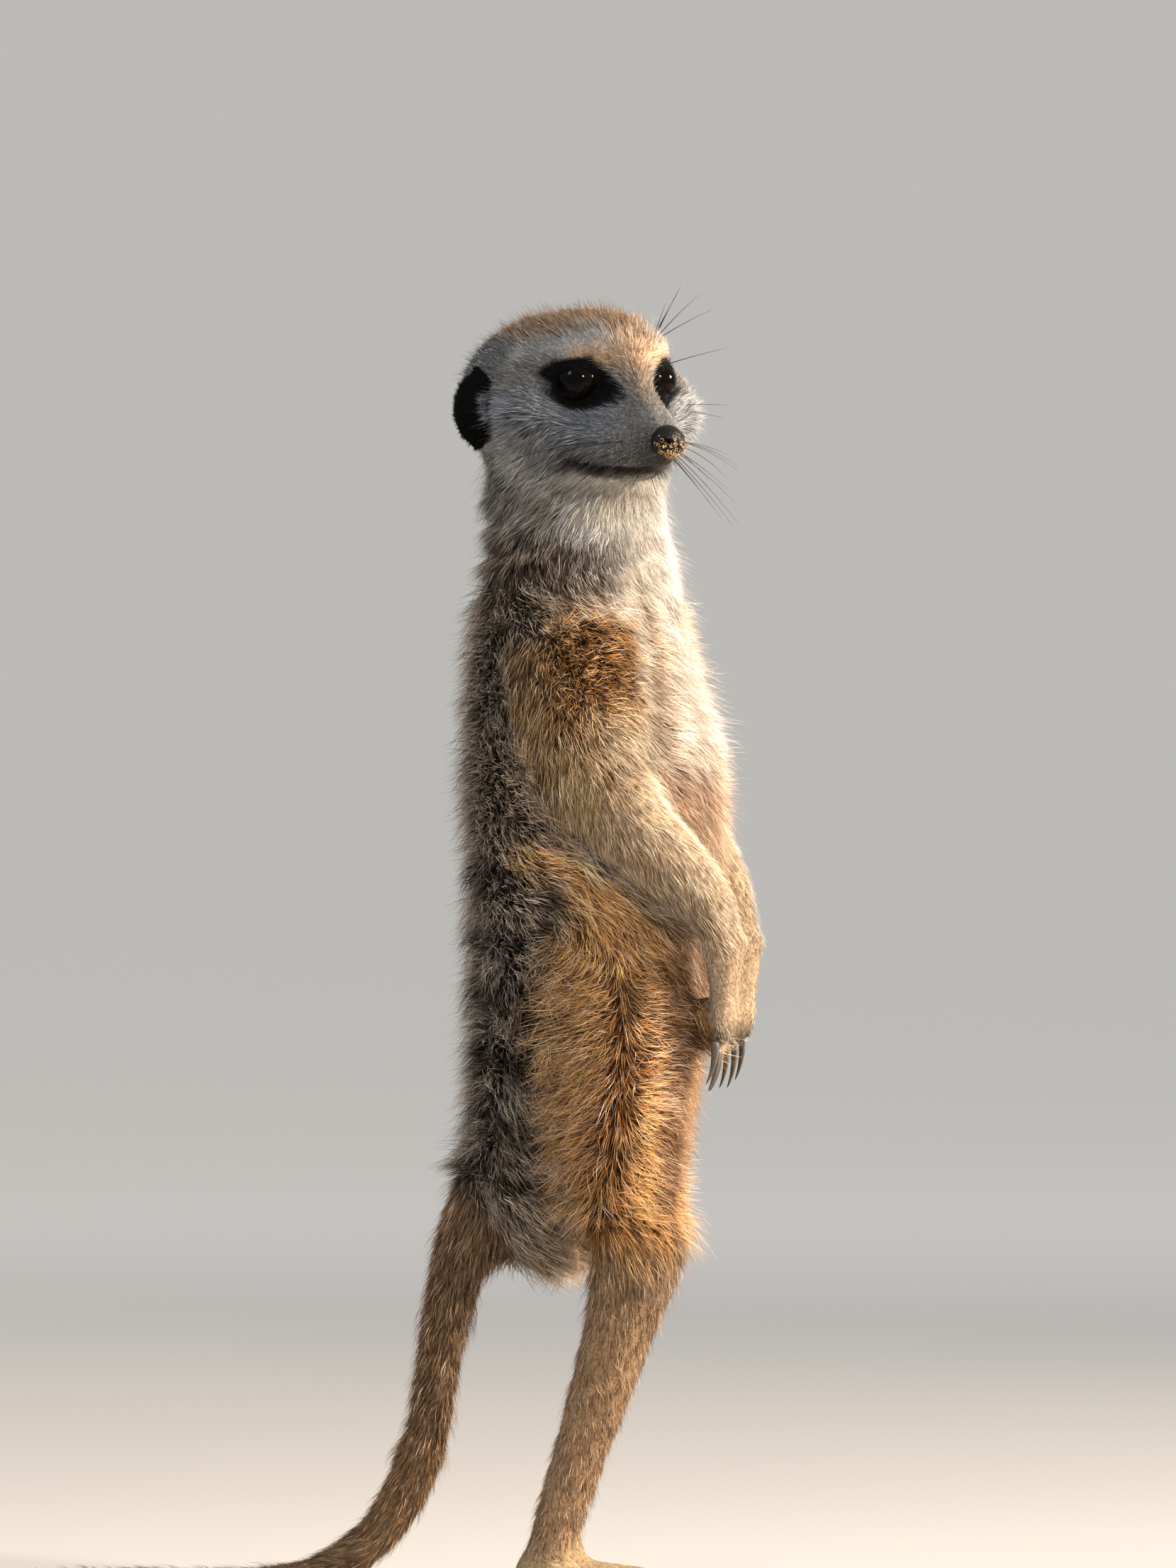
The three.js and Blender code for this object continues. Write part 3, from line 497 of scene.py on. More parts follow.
def lieOf(places, normals, labels):
    head = inHead(places)
    left, forward, height = inBody(places)
    sign = np.where(left > 0, 1.0, -1.0)
    lie = np.tile([0.0, 0.0, -1.0], (len(places), 1))
    flank = ease(0.1, 0.6, np.abs(normals[:, 0]))
    trunk = within(labels, "chest", "belly", "thigh")
    level = np.interp(height, [150, 190, 205, 225, 245], [0.3, 0.3, 0.2, 0.32, 0.6])
    run = rows(0.5 * sign * ease(0.2, 0.9, normals[:, 1]), -1.2 * flank, -level - (1 - flank))
    lie[trunk] = run[trunk]
    turned = 0.55 * ease(255, 270, height) - 0.5 * ease(262, 254, height)
    lie[:, 1] += within(labels, "neck") * flank * turned
    onHead = within(labels, "head")
    lift = 0.5 * ease(-4, 10, head[:, 2]) - 0.55 * ease(-4, -16, head[:, 2])
    lie[onHead] = (rows(0.25 * np.tanh(head[:, 0] / 8), 1, lift) @ headAxes)[onHead]
    for region, (start, end) in limbLines.items():
        for side in sideSign:
            along = (middleOf(end + "_" + side) - middleOf(start + "_" + side)).normalized()
            lie[within(labels, region) & (sign == sideSign[side])] = along
    # the thigh's hair fans out from an upright parting on its outer side
    hip = haunch(places, normals)[:, None]
    ahead = ease(-5, 5, forward - partingAt(height) + 4 * patchy(places, 9 * mm, 7))
    rising = ahead * np.interp(height, [105, 120, 150, 165], [-0.8, -0.4, 0.3, 0.1])
    fan = rows(0, 0.8 - 1.8 * ahead, rising - 0.5 * (1 - ahead))
    top = ease(24, 8, archHeight(forward) - height)[:, None]
    arch = rows(0, -1, -0.25 - 0.04 * np.maximum(forward, 0))
    lie = lie * (1 - hip) + (fan * (1 - top) + arch * top) * hip
    lie[within(labels, "foot")] = [0.34, -1, -0.1]
    base, middle, tip = (middleOf(n) for n in ("tail_base", "tail_middle", "tail_tip"))
    lie[within(labels, "tail_base")] = np.array((middle - base).normalized()) + [0, -0.35, -0.2]
    bend = ease(0.03, 0.012, places[:, 2])[:, None]
    tailLie = (1 - bend) * [0, 0.35, -1] + bend * np.array((tip - middle).normalized())
    onTail = within(labels, "tail_middle", "tail_tip")
    lie[onTail] = tailLie[onTail]
    return lie


def onSurface(vectors, normals):
    return unit(vectors - normals * np.sum(vectors * normals, axis=1)[:, None])


# Markings: the tone of the hair at its root and at its tip, for each part of the coat and each mark on it.
# The parting's tone is also painted shadow of the forearm on the belly, and the pale tone of the arms' fronts
# is also a painted highlight along the ridge between shoulder and breast.

tones = {
    "head": ("#56524d", "#aaa7a1"), "neck": ("#46413b", "#a39d92"), "chest": ("#241910", "#9d866e"),
    "belly": ("#221810", "#9a836a"), "upper_arm": ("#3c2510", "#dcae76"), "forearm": ("#7a5c40", "#dfc2a0"),
    "hand": ("#75604a", "#d6bd9e"), "thigh": ("#50290c", "#dca562"), "shank": ("#6b5138", "#bfa282"),
    "foot": ("#7a6749", "#c0a88a"), "tail_base": ("#463222", "#ab8a66"),
    "tail_middle": ("#59412c", "#ad8b66"), "tail_tip": ("#0d0a08", "#241c15"),
    "eyePatch": ("#030303", "#080707"), "crown": ("#2c180b", "#dba571"), "forehead": ("#7a5a42", "#dcc0a0"),
    "cheek": ("#434547", "#9c9e9f"), "throat": ("#cfc5b6", "#fbf7f0"), "muzzle": ("#3a3937", "#8c8a87"),
    "lip": ("#120d0b", "#2b2420"), "nape": ("#1f1d1b", "#585551"), "temple": ("#383634", "#8b8985"),
    "shoulder": ("#0b0603", "#9a6a34"), "rust": ("#1c1008", "#c48f54"), "armpit": ("#9a7846", "#f4d6a4"),
    "breast": ("#a88e78", "#eee1d4"), "paunch": ("#7a5b42", "#b8967a"), "flank": ("#3a2a1c", "#bfa283"),
    "groin": ("#4a3420", "#7c5d41"), "bar": ("#060404", "#14100d"), "pale": ("#17110c", "#96846f"),
    "haunch": ("#5a3413", "#efb670"), "parting": ("#120803", "#8a501e"), "finger": ("#1f1b18", "#575046"),
    "armFrontAndLitRidge": ("#a08562", "#f2dfc4"), "spine": ("#120c08", "#665645"), "earShade": ("#4a3a2c", "#8c7256"),
    "bridge": ("#54402f", "#a1856a"), "brow": ("#8b867e", "#d8d2c8"),
}
# The dark patch round each eye, from the eye's centre, and the bars of the back: mm, and tilt in degrees
patchSet = {"in": 1.6, "down": 1.2, "tilt": 14, "long": 11.3, "high": 7.0, "least": 2.5}
barSet = {"apart": 14.5, "top": (203, 182), "bottom": (94, 106)}
shoulderSpots = {  # the middle of each from the upper arm's, and its half size, in mm
    "whorl": ((8.2, -9, 14.5), (22, 16, 15)),
    "above": ((3, -9, 27), (9, 9, 7)),
    "pit": ((11, -3, -17), (9, 10, 13)),
}


def shoulderReach(places, side, spot):  # distance from the middle of the spot, 1 at its edge
    centre, size = shoulderSpots[spot]
    at = (places - np.array(middleOf("upper_arm_" + side))) / mm * [sideSign[side], 1, 1]
    return lengths((at - centre) / size)


def markings(places, normals, labels, softened):
    colours = [softened(np.array([linear(tones[name][end]) for name in regions])[labels]) for end in (0, 1)]
    head = inHead(places)
    x, y, z = np.abs(head[:, 0]), head[:, 1], head[:, 2]
    left, forward, height = inBody(places)
    toFront = -normals[:, 1]

    def near(*names):
        return softened(within(labels, *names))

    # draws both tones to the mark's by the product of the shares, where three numbers stand for their ease
    def paint(mark, *shares):
        mask = 1
        for share in shares:
            mask = mask * (ease(*share) if isinstance(share, tuple) else share)
        mask = np.clip(mask, 0, 1)[:, None]
        for colour, code in zip(colours, tones[mark]):
            colour += (linear(code) - colour) * mask

    onHead = near("head")
    lumps = patchy(places, 6 * mm)
    fine = patchy(places, 2.2 * mm, 40)
    # head
    paint("cheek", onHead, (1, -4, z), (3, 9, x))
    paint("temple", onHead, (-2, 5, z), (10, 16, x), (-6, 2, y))
    paint("forehead", onHead, (0, 5, z + 0.3 * y + 3), (12, 4, y), (16, 12, x))
    top = z + 1.5 * lumps + fine - 0.10 * x + 0.35 * y
    paint("crown", onHead, (7, 12, top), (-13, -4, y), (20, 14, x + lumps), 0.8 + 0.2 * fine)
    paint("earShade", onHead, hill(z - 3, 5), hill(y - 8, 5), (12, 16, x), 0.6)
    paint("nape", onHead, (24, 34, y), (24, 16, x))
    paint("bridge", onHead, (5, 2, x), (7, 0, z), (-19, -14, y), (4, -2, y), 0.7)
    paint("brow", onHead, hill(z - 8.5 + 0.25 * (y - 4), 3.2), (3, 7, x), (18, 13, y), 0.8)
    paint("muzzle", onHead, (-8, -15, y), (2, -6, z), 0.75)
    paint("muzzle", onHead, hill(z + 16.5, 3.5), (2, -5, y), (14, 10, x), 0.5 + 0.5 * fine)
    paint("throat", onHead, (-20.5, -23.5, z + 1.2 * fine), (26, 16, y))
    paint("throat", onHead, hill(z + 21, 5), hill(y - 14, 7), 0.6)
    line = z - lipHeight(y)
    paint("lip", onHead, hill(line + 0.2, 1.5), (3.5, 0, y), (15, 12, x), 0.95)
    paint("lip", onHead, hill(line + 0.7, 2.7), hill(y + 4, 8), (18, 13, x), 1 + 0.5 * fine)
    paint("lip", onHead, hill(np.hypot(x, y - noseTip[1]), 7.5), (-10, -14, z), 0.7)
    tilt = math.radians(patchSet["tilt"])
    for side in sideSign:
        across, up, out, _ = eyePlace(places, side)
        across, up = across + patchSet["in"], up + patchSet["down"]
        along = across * math.cos(tilt) + up * math.sin(tilt)
        over = up * math.cos(tilt) - across * math.sin(tilt)
        high = np.maximum(patchSet["high"] - 0.11 * np.abs(along) ** 1.25, patchSet["least"])
        patch = np.hypot(along / patchSet["long"], over / high)
        paint("eyePatch", (1.10, 0.88, patch + 0.10 * fine), out > -5)
    # neck, chest and belly
    trunk = near("chest", "belly", "neck")
    overCollar = ease(-3, 2, height - (265.5 - 0.1 * (forward + 20) + 1.5 * lumps))
    above, lower = trunk * overCollar, trunk * (1 - overCollar)
    below = trunk * (1 - above)
    behind = (-0.1, 0.75, normals[:, 1])
    inFront = (0.05, 0.75, toFront)
    paint("neck", above)
    paint("chest", lower, (235, 245, height))
    paint("nape", above, behind, 0.8)
    paint("throat", above, (-0.1, 0.45, toFront - 0.15 * lumps))
    paint("breast", below, inFront, (195, 225, height))
    paint("throat", below, inFront, (222, 262, height), 0.85)
    paint("paunch", trunk, inFront, (222, 196, height), 0.9)
    paint("groin", trunk, inFront, (160, 130, height), 0.8)
    paint("spine", lower, behind, 0.55)
    paint("spine", lower, (4, -6, forward + 2 * lumps), (214, 226, height), 0.6)
    paint("spine", lower, (18, 8, forward + 2 * lumps), (240, 248, height), 0.85)
    paint("flank", lower, hill(forward + 10, 11), hill(height - 202, 11), 0.8)
    # broken dark bars across the lower back and rump
    wave = np.sin((height + 3.2 * lumps + 0.25 * forward) * 2 * math.pi / barSet["apart"])
    low = ease(*barSet["top"], height) * ease(*barSet["bottom"], height) * ease(6, -2, forward + 2 * lumps)
    low *= near("chest", "belly", "thigh")
    ragged = ease(-0.3, 0.8, wave + 0.7 * fine + 0.5 * lumps)
    paint("pale", low, 1 - ragged, 0.8)
    paint("bar", low, ragged, 0.85)
    # the thigh, and the black gaps behind it, which long pale hairs cross
    hip = haunch(places, normals) * near("thigh", "belly", "chest", "shank")
    paint("haunch", (0.1, 0.9, hip + 0.5 * fine * hip * (1 - hip) * 4))
    seam = hill(forward - partingAt(height) - 3 * lumps - 1.5 * fine, 3.6)
    paint("parting", hip, seam, (166, 138, height), 0.75 + 0.6 * fine)
    gap = hill(forward + 0.5 + 4 * lumps, 7.5) * near("belly", "thigh", "chest")
    aside = np.abs(normals[:, 0])
    paint("bar", gap, (184, 172, height), (98, 112, height), (-0.7, 0.1, lumps + fine), (0.1, 0.5, aside))
    paint("groin", near("thigh", "shank"), (0.3, 0.75, toFront), (96, 104, height))
    # a rusty whorl on each shoulder, and the arms
    unmarked = np.ones(len(places))
    for side in sideSign:
        outward = normals[:, 0] * sideSign[side]
        outer = ease(0.1, 0.4, outward)
        whorl, over, pit = (shoulderReach(places, side, spot) for spot in shoulderSpots)
        unmarked *= 1 - ease(1.35, 0.6, whorl) * (outward > 0)
        paint("rust", (1.45, 0.55, whorl + 0.3 * lumps + 0.35 * fine), outer)
        paint("shoulder", (1.0, 0.4, whorl + 0.6 * fine + 0.2 * lumps), outer, 0.85)
        paint("spine", (1.2, 0.4, over + 0.3 * fine), outer, 0.7)
        paint("armpit", (1.2, 0.3, pit + 0.25 * lumps), outer, 0.9)
    past, edge = breastEdge(left, forward, height)
    paint("armFrontAndLitRidge", near("upper_arm", "forearm"), unmarked, (0.0, 0.75, toFront), 0.8)
    # painted highlight: a pale line on the ridge between shoulder and breast, where the light catches it
    paint("armFrontAndLitRidge", hill(past - 0.5, 2.2), edge, 0.75)
    paint("finger", near("hand"), (147, 141, height), 0.9)
    # the fringe between belly and forearm, darkened with the parting's tone as painted shadow where the arm
    # shades the belly, and a nipple low on the belly
    front = frontOf(left, forward)
    paint("parting", hill(front - 28, 2.2), hill(height - 150, 12), near("belly", "thigh"), 0.6)
    nipple = np.hypot((front - 26.7) / 1.1, (height - 124) / 0.8)
    paint("eyePatch", (1.3, 0.7, nipple), toFront > 0)
    paint("parting", near("tail_middle"), (0.02, 0.05, places[:, 1]), 0.35)
    vary = (1 + 0.16 * lumps + 0.12 * fine)[:, None]
    return [np.clip(colour * vary, 0, 1) for colour in colours]


toneKeys = ("rootTone", "tipTone")


def skinGround(skin):  # all that the tufts need to know about the skin they grow from
    mesh = skin.data
    places, normals = placesOf(mesh), normalsOf(mesh)
    labels = regionsOf(places)
    ground = {key: spread(mesh, regionValues(labels, key), 16) for key in growKeys}
    ground["lie"] = onSurface(spread(mesh, lieOf(places, normals, labels), 10), normals)
    painted = markings(places, normals, labels, lambda values: spread(mesh, values, 12))
    ground.update(zip(toneKeys, painted))
    # The head's coat is shortest round the eyes and nose, and longest on the cheeks and crown.
    head = inHead(places)
    onHead = spread(mesh, within(labels, "head"), 8)
    short = ease(27, 7, lengths(head - noseTip))
    bare = np.zeros(len(places))
    for side in sideSign:
        across, up, out, distance = eyePlace(places, side)
        short = np.maximum(short, ease(15, 6, np.sqrt(across ** 2 + up ** 2 + (out - 5) ** 2)))
        bare = np.maximum(bare, (lidEdge(across, up, out) < 0.35) & (distance < 8) & (out > 0))
    cheek = cheekOf(head)
    crown = ease(8, 15, head[:, 2])
    short = np.maximum(short, 0.9 * hill(lengths(np.abs(head) - [25, 19, 6]), 8))
    ground["length"] *= 1 + onHead * (0.5 * cheek + 0.15 * crown - 0.52 * short)
    ground["width"] *= 1 - onHead * (0.2 + 0.2 * short)
    ground["rise"] += onHead * (10 * cheek + 10 * crown - 14 * short)
    ground["settle"] += onHead * (8 * cheek + 8 * crown - 6 * short)
    ground["density"] *= (1 + onHead * (1.3 * short - 0.2)) * (1 - bare)
    # It is finer and sparser in front, and raised in a whorl on each shoulder and along the back.
    trunk = spread(mesh, within(labels, "chest", "belly", "neck"), 8)
    front = trunk * ease(0.3, 0.9, -normals[:, 1])
    behind = trunk * ease(0.2, 0.9, normals[:, 1])
    innerThigh = spread(mesh, within(labels, "thigh"), 8) * ease(0.3, 0.8, -normals[:, 1])
    ground["width"] *= (1 - 0.25 * front) * (1 - 0.2 * innerThigh)
    ground["length"] *= (1 - 0.15 * front) * (1 - 0.45 * innerThigh)
    ground["rise"] += 8 * behind + 4 * front
    ground["settle"] += 6 * behind
    rusty = np.zeros(len(places))
    for side in sideSign:
        whorl = ease(1.4, 0.5, shoulderReach(places, side, "whorl")) * (normals[:, 0] * sideSign[side] > 0)
        rusty = np.maximum(rusty, whorl)
        ground["rise"] += 22 * whorl
        ground["settle"] += 20 * whorl
        ground["wild"] += 0.55 * whorl
        ground["length"] *= 1 - 0.22 * whorl
    dark = ease(0.06, 0.02, ground["tipTone"].max(1))  # the darkest marks have few pale hairs
    ground["tick"] = (1 - 0.4 * rusty) * (1 - 0.4 * front) * (1 - 0.5 * innerThigh)
    ground["tick"] *= 1 - 0.8 * dark * onHead
    ground["length"] *= 1 + 0.9 * within(labels, "shank") * ease(66, 98, places[:, 2] / mm)
    ground.update(places=places, normals=normals, labels=labels)
    return ground


ground = skinGround(skin)
for key in toneKeys:
    store(skin.data, key, ground[key])
print("skin: markings and lie of the coat")


# Short dense underfur seen between the tufts: dull, darker than the tips, finely broken up
def underfurSkin():
    material = newMaterial("underfur skin")
    place = addNode(material, "TexCoord")["Object"]
    # tufts of underfur stand about 0.6 mm apart
    speck = addNode(material, "TexNoise", {"Vector": place, "Scale": 1600, "Detail": 3})["Fac"]
    share = addNode(material, "MapRange", {0: speck, 1: 0.35, 2: 0.7, 3: 0.0, 4: 0.4})[0]
    tones = [addNode(material, "Attribute", attribute_name=key)["Color"] for key in toneKeys]
    sockets = {"Roughness": 0.85, "Specular IOR Level": 0.06}
    return finishMaterial(material, share, tones, sockets, (speck, 0.5, 0.3))


finishPiece(skin, underfurSkin(), "body_coat", *fleshNodes)
smooth(skin)


# Outer hair: slightly glossy keratin, dark at the root and pale at the tip
def coatHair(name, darkTo=0.08, paleFrom=0.62, gloss=0.12, sheen=0.02):
    material = newMaterial(name)
    along = addNode(material, "Attribute", attribute_name="along")["Fac"]
    inputs = {0: along, 1: darkTo, 2: paleFrom}
    share = addNode(material, "MapRange", inputs, interpolation_type="SMOOTHSTEP")[0]
    tones = [addNode(material, "Attribute", attribute_name=key)["Color"] for key in toneKeys]
    sockets = {"Roughness": 0.5, "IOR": 1.55, "Specular IOR Level": gloss, "Sheen Weight": sheen,
               "Sheen Roughness": 0.4}
    return finishMaterial(material, share, tones, sockets)


# Tufts: one hair in nine leads a lock and draws the others to its tip

tuftSet = {
    "leaders": 0.11, "pull": 0.34,  # shares
    "sunk": 0.35, "lowest": 0.25,  # how deep a root sits and how near the floor a hair may come, in mm
    "brightest": 0.8,  # of a pale tip's strongest channel
    "patch": 0.0026,  # each tuft's share of the map's width
}


def unwrap(mesh, triangles):  # lays the triangles out flat and gives each corner its place on the map
    used, corners = np.unique(triangles, return_inverse=True)
    flat = newMesh("flat", placesOf(mesh)[used], corners.reshape(-1, 3).tolist())
    piece = newObject("flat", flat)
    editAll(piece, bpy.ops.uv.smart_project, angle_limit=math.radians(66), island_margin=0.004)
    spots = read(flat.uv_layers.active.data, "uv", 2)
    cornerOf = read(flat.loops, "vertex_index", 1, int)
    bpy.data.objects.remove(piece)
    bpy.data.meshes.remove(flat)
    return used[cornerOf.reshape(-1, 3)], spots.reshape(-1, 3, 2)


# The layers of the coat. longer and wider scale a tuft, lift is in degrees, pull is how far a lock draws it,
# dark and pale are shares of hairs with such tips, and bright scales the tone of the tip.
layers = {
    "fine": dict(segments=1, longer=0.80, wider=1.15, dark=0.45, pale=0.06, bright=0.6),
    "pale": dict(segments=1, longer=1.15, wider=0.5, lift=5, pull=0.2, dark=0.05, pale=0.7, bright=1.5),
    "long": dict(segments=2, longer=1.2, wider=0.56, lift=4, dark=0.1, pale=0.55, bright=1.4),
    "guard": dict(segments=2, longer=1.05, wider=0.42, lift=24, pull=0.0, dark=0.3, pale=0.3, bright=1.0),
    "ear": dict(segments=1, longer=1.0, wider=1.0, dark=0.2, pale=0.02, bright=1.0),
}


def growTufts(name, ground, laid, count, segments, longer, wider, dark, pale, bright, lift=0.0,
              pull=tuftSet["pull"]):
    order, spots = laid
    corners = ground["places"][order]
    area = lengths(np.cross(corners[:, 1] - corners[:, 0], corners[:, 2] - corners[:, 0]))
    weight = area * ground["density"][order].mean(1)
    picked = chance.choice(len(order), count, p=weight / weight.sum())
    a, b = chance.random((2, count))
    over = a + b > 1
    a[over], b[over] = 1 - a[over], 1 - b[over]
    shares = np.stack([1 - a - b, a, b], 1)

    def at(key):
        return np.einsum("ij,ij...->i...", shares, ground[key][order[picked]])

    root = at("places")
    normal = unit(at("normals"))
    length = at("length") * mm * longer * chance.uniform(0.7, 1.25, count)
    width = at("width") * mm * wider * chance.uniform(0.75, 1.2, count)
    rise = np.radians(at("rise") + lift + chance.normal(0, 7, count))
    settle = np.radians(at("settle") + lift * 0.8 + chance.normal(0, 6, count))
    along = onSurface(at("lie"), normal)
    across = np.cross(normal, along)
    swirl = patchy(root, 9 * mm, 3) * 0.5 + patchy(root, 3.5 * mm, 17) * 0.35
    turn = swirl * (0.4 + 1.3 * at("wild")) + chance.normal(0, 1, count) * at("wild")
    along = along * np.cos(turn)[:, None] + across * np.sin(turn)[:, None]

    # the middle line of each tuft, ring by ring
    line = [root - normal * tuftSet["sunk"] * mm]
    for k in range(segments):
        part = k / (segments - 1) if segments > 1 else 0.5
        angle = rise + (settle - rise) * part
        step = along * np.cos(angle)[:, None] + normal * np.sin(angle)[:, None]
        line.append(line[-1] + step * (length / segments)[:, None])
    line = np.array(line)
    leaders = chance.choice(count, max(int(count * tuftSet["leaders"]), 1), replace=False)
    tree = KDTree(len(leaders))
    for i, leader in enumerate(leaders):
        tree.insert(root[leader], i)
    tree.balance()
    leader = leaders[[tree.find(p)[1] for p in root]]
    for k in range(1, segments + 1):
        line[k] += (line[k][leader] - line[k]) * pull * (k / segments) ** 1.5
    line[:, :, 2] = np.maximum(line[:, :, 2], tuftSet["lowest"] * mm)

    # three-sided rings that narrow to a point
    rings = []
    for k in range(segments):
        direction = unit(line[k + 1] - line[k])
        sideways = unit(np.cross(direction, normal) + 1e-9)
        up = np.cross(sideways, direction)
        half = (width * (1 - 0.75 * (k / segments) ** 1.4) / 2)[:, None]
        rings += [line[k] + sideways * half, line[k] + up * half * 0.9, line[k] - sideways * half]
    points = np.stack([*rings, line[segments]], 1)
    perTuft = points.shape[1]
    faces = [(0, 2, 1)]
    for k in range(segments - 1):
        for i in range(3):
            p, q = 3 * k + i, 3 * k + (i + 1) % 3
            faces += [(p, q, q + 3), (p, q + 3, p + 3)]
    last = 3 * (segments - 1)
    faces += [(last + i, last + (i + 1) % 3, perTuft - 1) for i in range(3)]
    faces = (np.array(faces)[None] + (np.arange(count) * perTuft)[:, None, None]).reshape(-1, 3)

    made = bpy.data.meshes.new(name)
    made.vertices.add(count * perTuft)
    made.vertices.foreach_set("co", points.astype(np.float32).ravel())
    made.loops.add(len(faces) * 3)
    made.loops.foreach_set("vertex_index", faces.ravel().astype(np.int32))
    made.polygons.add(len(faces))
    made.polygons.foreach_set("loop_start", np.arange(0, len(faces) * 3, 3, dtype=np.int32))
    made.polygons.foreach_set("use_smooth", np.ones(len(faces), bool))
    made.update()
    ringShare = np.array([(k // 3) / segments for k in range(perTuft - 1)] + [1.0])
    store(made, "along", np.tile(ringShare, count))

    # each hair's own tone: some are dark to the tip and some are pale, and a lock keeps together
    rootTone, tipTone = at("rootTone"), at("tipTone") * bright
    kind = chance.random(count)
    darkShare = ((kind < dark) * 0.8)[:, None]
    paleShare = ((kind > 1 - pale * at("tick")) * chance.uniform(0.45, 1.0, count))[:, None]
    tipTone = tipTone + (rootTone * 0.8 - tipTone) * darkShare
    strongest = tipTone.max(1, keepdims=True)
    paleTone = 0.4 * (tipTone / strongest + [1, 0.93, 0.84]) * np.clip(strongest * 6, 0, 1)
    tipTone = tipTone + (paleTone - tipTone) * paleShare
    tipTone /= np.maximum(tipTone.max(1, keepdims=True) / tuftSet["brightest"], 1)  # keeps the hue
    lock = chance.normal(0, 0.24, count)[leader] * np.clip(length / (9 * mm), 0.3, 1)
    value = 1 + lock + 0.16 * chance.normal(0, 1, count) + 0.14 * patchy(root, 2.5 * mm, 60)
    value = value.clip(0.4, 1.7)[:, None]
    for key, tone in zip(toneKeys, (rootTone, tipTone)):
        store(made, key, np.repeat(np.clip(tone * value, 0, 0.95), perTuft, 0))
    spot = np.einsum("ij,ijk->ik", shares, spots[picked])
    ringAround = np.array([(k % 3) / 2 for k in range(perTuft - 1)] + [0.5])
    offset = (np.stack([ringAround, ringShare], 1) - 0.5) * tuftSet["patch"]
    cornerSpots = (spot[:, None] + offset[None]).reshape(-1, 2)[faces.ravel()]
    made.uv_layers.new(name="OFBake").data.foreach_set("uv", np.clip(cornerSpots, 0, 1).ravel())
    return newObject(name, made)


partChanges = {  # pale and bright of a part's pale and long layers, where they differ from their own
    "face_right": (0.3, 1.05), "face_left": (0.3, 1.05), "crown": (0.38, 1.2), "neck": (0.5, 1.1),
    "thighs": (0.55, 1.7), "legs": (0.15, 1.1), "tail": (0.15, 1.0), "tail_tip": (0.05, 1.0),
}
# The fine layer follows a part's bright, or plain where it has none, duller
fineSet = {"plain": 0.8, "dull": 0.75, "dark": 0.45, "faceDark": 0.3}


def coatPieces():
    triangles = trianglesOf(skin.data)
    label = ground["labels"][triangles[:, 0]]
    centre = ground["places"][triangles].mean(1)
    toLeft, toBack, toTop = inHead(centre).T
    left, forward, _ = inBody(centre)

    def on(*names):
        return within(label, *names)

    face = on("head") & (toBack < 9)
    arm = on("upper_arm", "forearm", "hand")
    inFront = forward > 2
    parts = {  # its share of the skin, its slot, and its numbers of fine, pale and long tufts
        "face_right": (face & (toLeft < 0), "face_coat", 22000, 5000, 1500),
        "face_left": (face & (toLeft >= 0), "face_coat", 18000, 4000, 1200),
        "crown": (on("head") & ~face, "face_coat", 16000, 6000, 2500),
        "neck": (on("neck"), "face_coat", 13000, 7500, 2200),
        "chest": (on("chest") & inFront, "body_coat", 12000, 6000, 2000),
        "back": (on("chest") & ~inFront, "body_coat", 14000, 9000, 5500),
        "belly": (on("belly") & inFront, "body_coat", 8000, 3000, 1000),
        "rump": (on("belly") & ~inFront, "body_coat", 14000, 8000, 5500),
        "arm_right": (arm & (left < 0), "arm_coat", 16000, 6000, 2000),
        "arm_left": (arm & (left >= 0), "arm_coat", 12000, 4500, 1200),
        "thighs": (on("thigh"), "leg_coat", 16000, 9000, 5500),
        "legs": (on("shank", "foot"), "leg_coat", 16000, 4000, 1200),
        "tail": (on("tail_base", "tail_middle"), "tail_coat", 11000, 3500, 1800),
        "tail_tip": (on("tail_tip"), "tail_tip_coat", 5000, 800, 600),
    }
    total = 0
    outerHair = coatHair("outer hair")
    for part, (mask, slot, *counts) in parts.items():
        laid = unwrap(skin.data, triangles[mask])
        for layer, count in zip(("fine", "pale", "long"), counts):
            changes = dict(zip(("pale", "bright"), partChanges.get(part, ())))
            if layer == "fine":
                changes = {"bright": changes.get("bright", fineSet["plain"]) * fineSet["dull"],
                           "dark": fineSet["faceDark" if part.startswith("face") else "dark"]}
            tufts = growTufts(layer + "_" + part, ground, laid, count, **{**layers[layer], **changes})
            finishPiece(tufts, outerHair, slot)
            total += len(tufts.data.polygons)
        print("coat:", part, counts)
    # long thin guard hairs that stand off the outline, dark along the back
    guardHair = coatHair("guard hair", 0.3, 0.9)
    body = on("chest", "belly", "neck", "thigh", "upper_arm")
    facing = ground["normals"][triangles].mean(1)[:, 1]
    behind, ahead = facing > 0.25, facing < -0.35
    crown = on("head") & ~(face & (toTop < -4))
    guards = {
        "front": (body & ahead, "body_coat", 2400, dict(lift=34, longer=1.2, bright=1.3)),
        "side": (body & ~behind & ~ahead, "body_coat", 2200, {}),
        "back": (body & behind, "body_coat", 3000, dict(lift=38, bright=0.45, pale=0.1)),
        "head": (crown, "face_coat", 1500, dict(longer=1.5, bright=0.6)),
    }
    for part, (mask, slot, count, changes) in guards.items():
        laid = unwrap(skin.data, triangles[mask])
        tufts = growTufts("guard_" + part, ground, laid, count, **{**layers["guard"], **changes})
        finishPiece(tufts, guardHair, slot)
        total += len(tufts.data.polygons)
    print("coat:", total, "triangles")


coatPieces()


def inOrder(mesh):  # the same mesh with its vertices and faces sorted by place
    places = placesOf(mesh)
    order = np.lexsort(places.T)
    rank = np.argsort(order)
    faces = []
    for face in mesh.polygons:
        corners = rank[list(face.vertices)]
        faces.append(np.roll(corners, -corners.argmin()).tolist())
    return newMesh(mesh.name, places[order], sorted(faces))


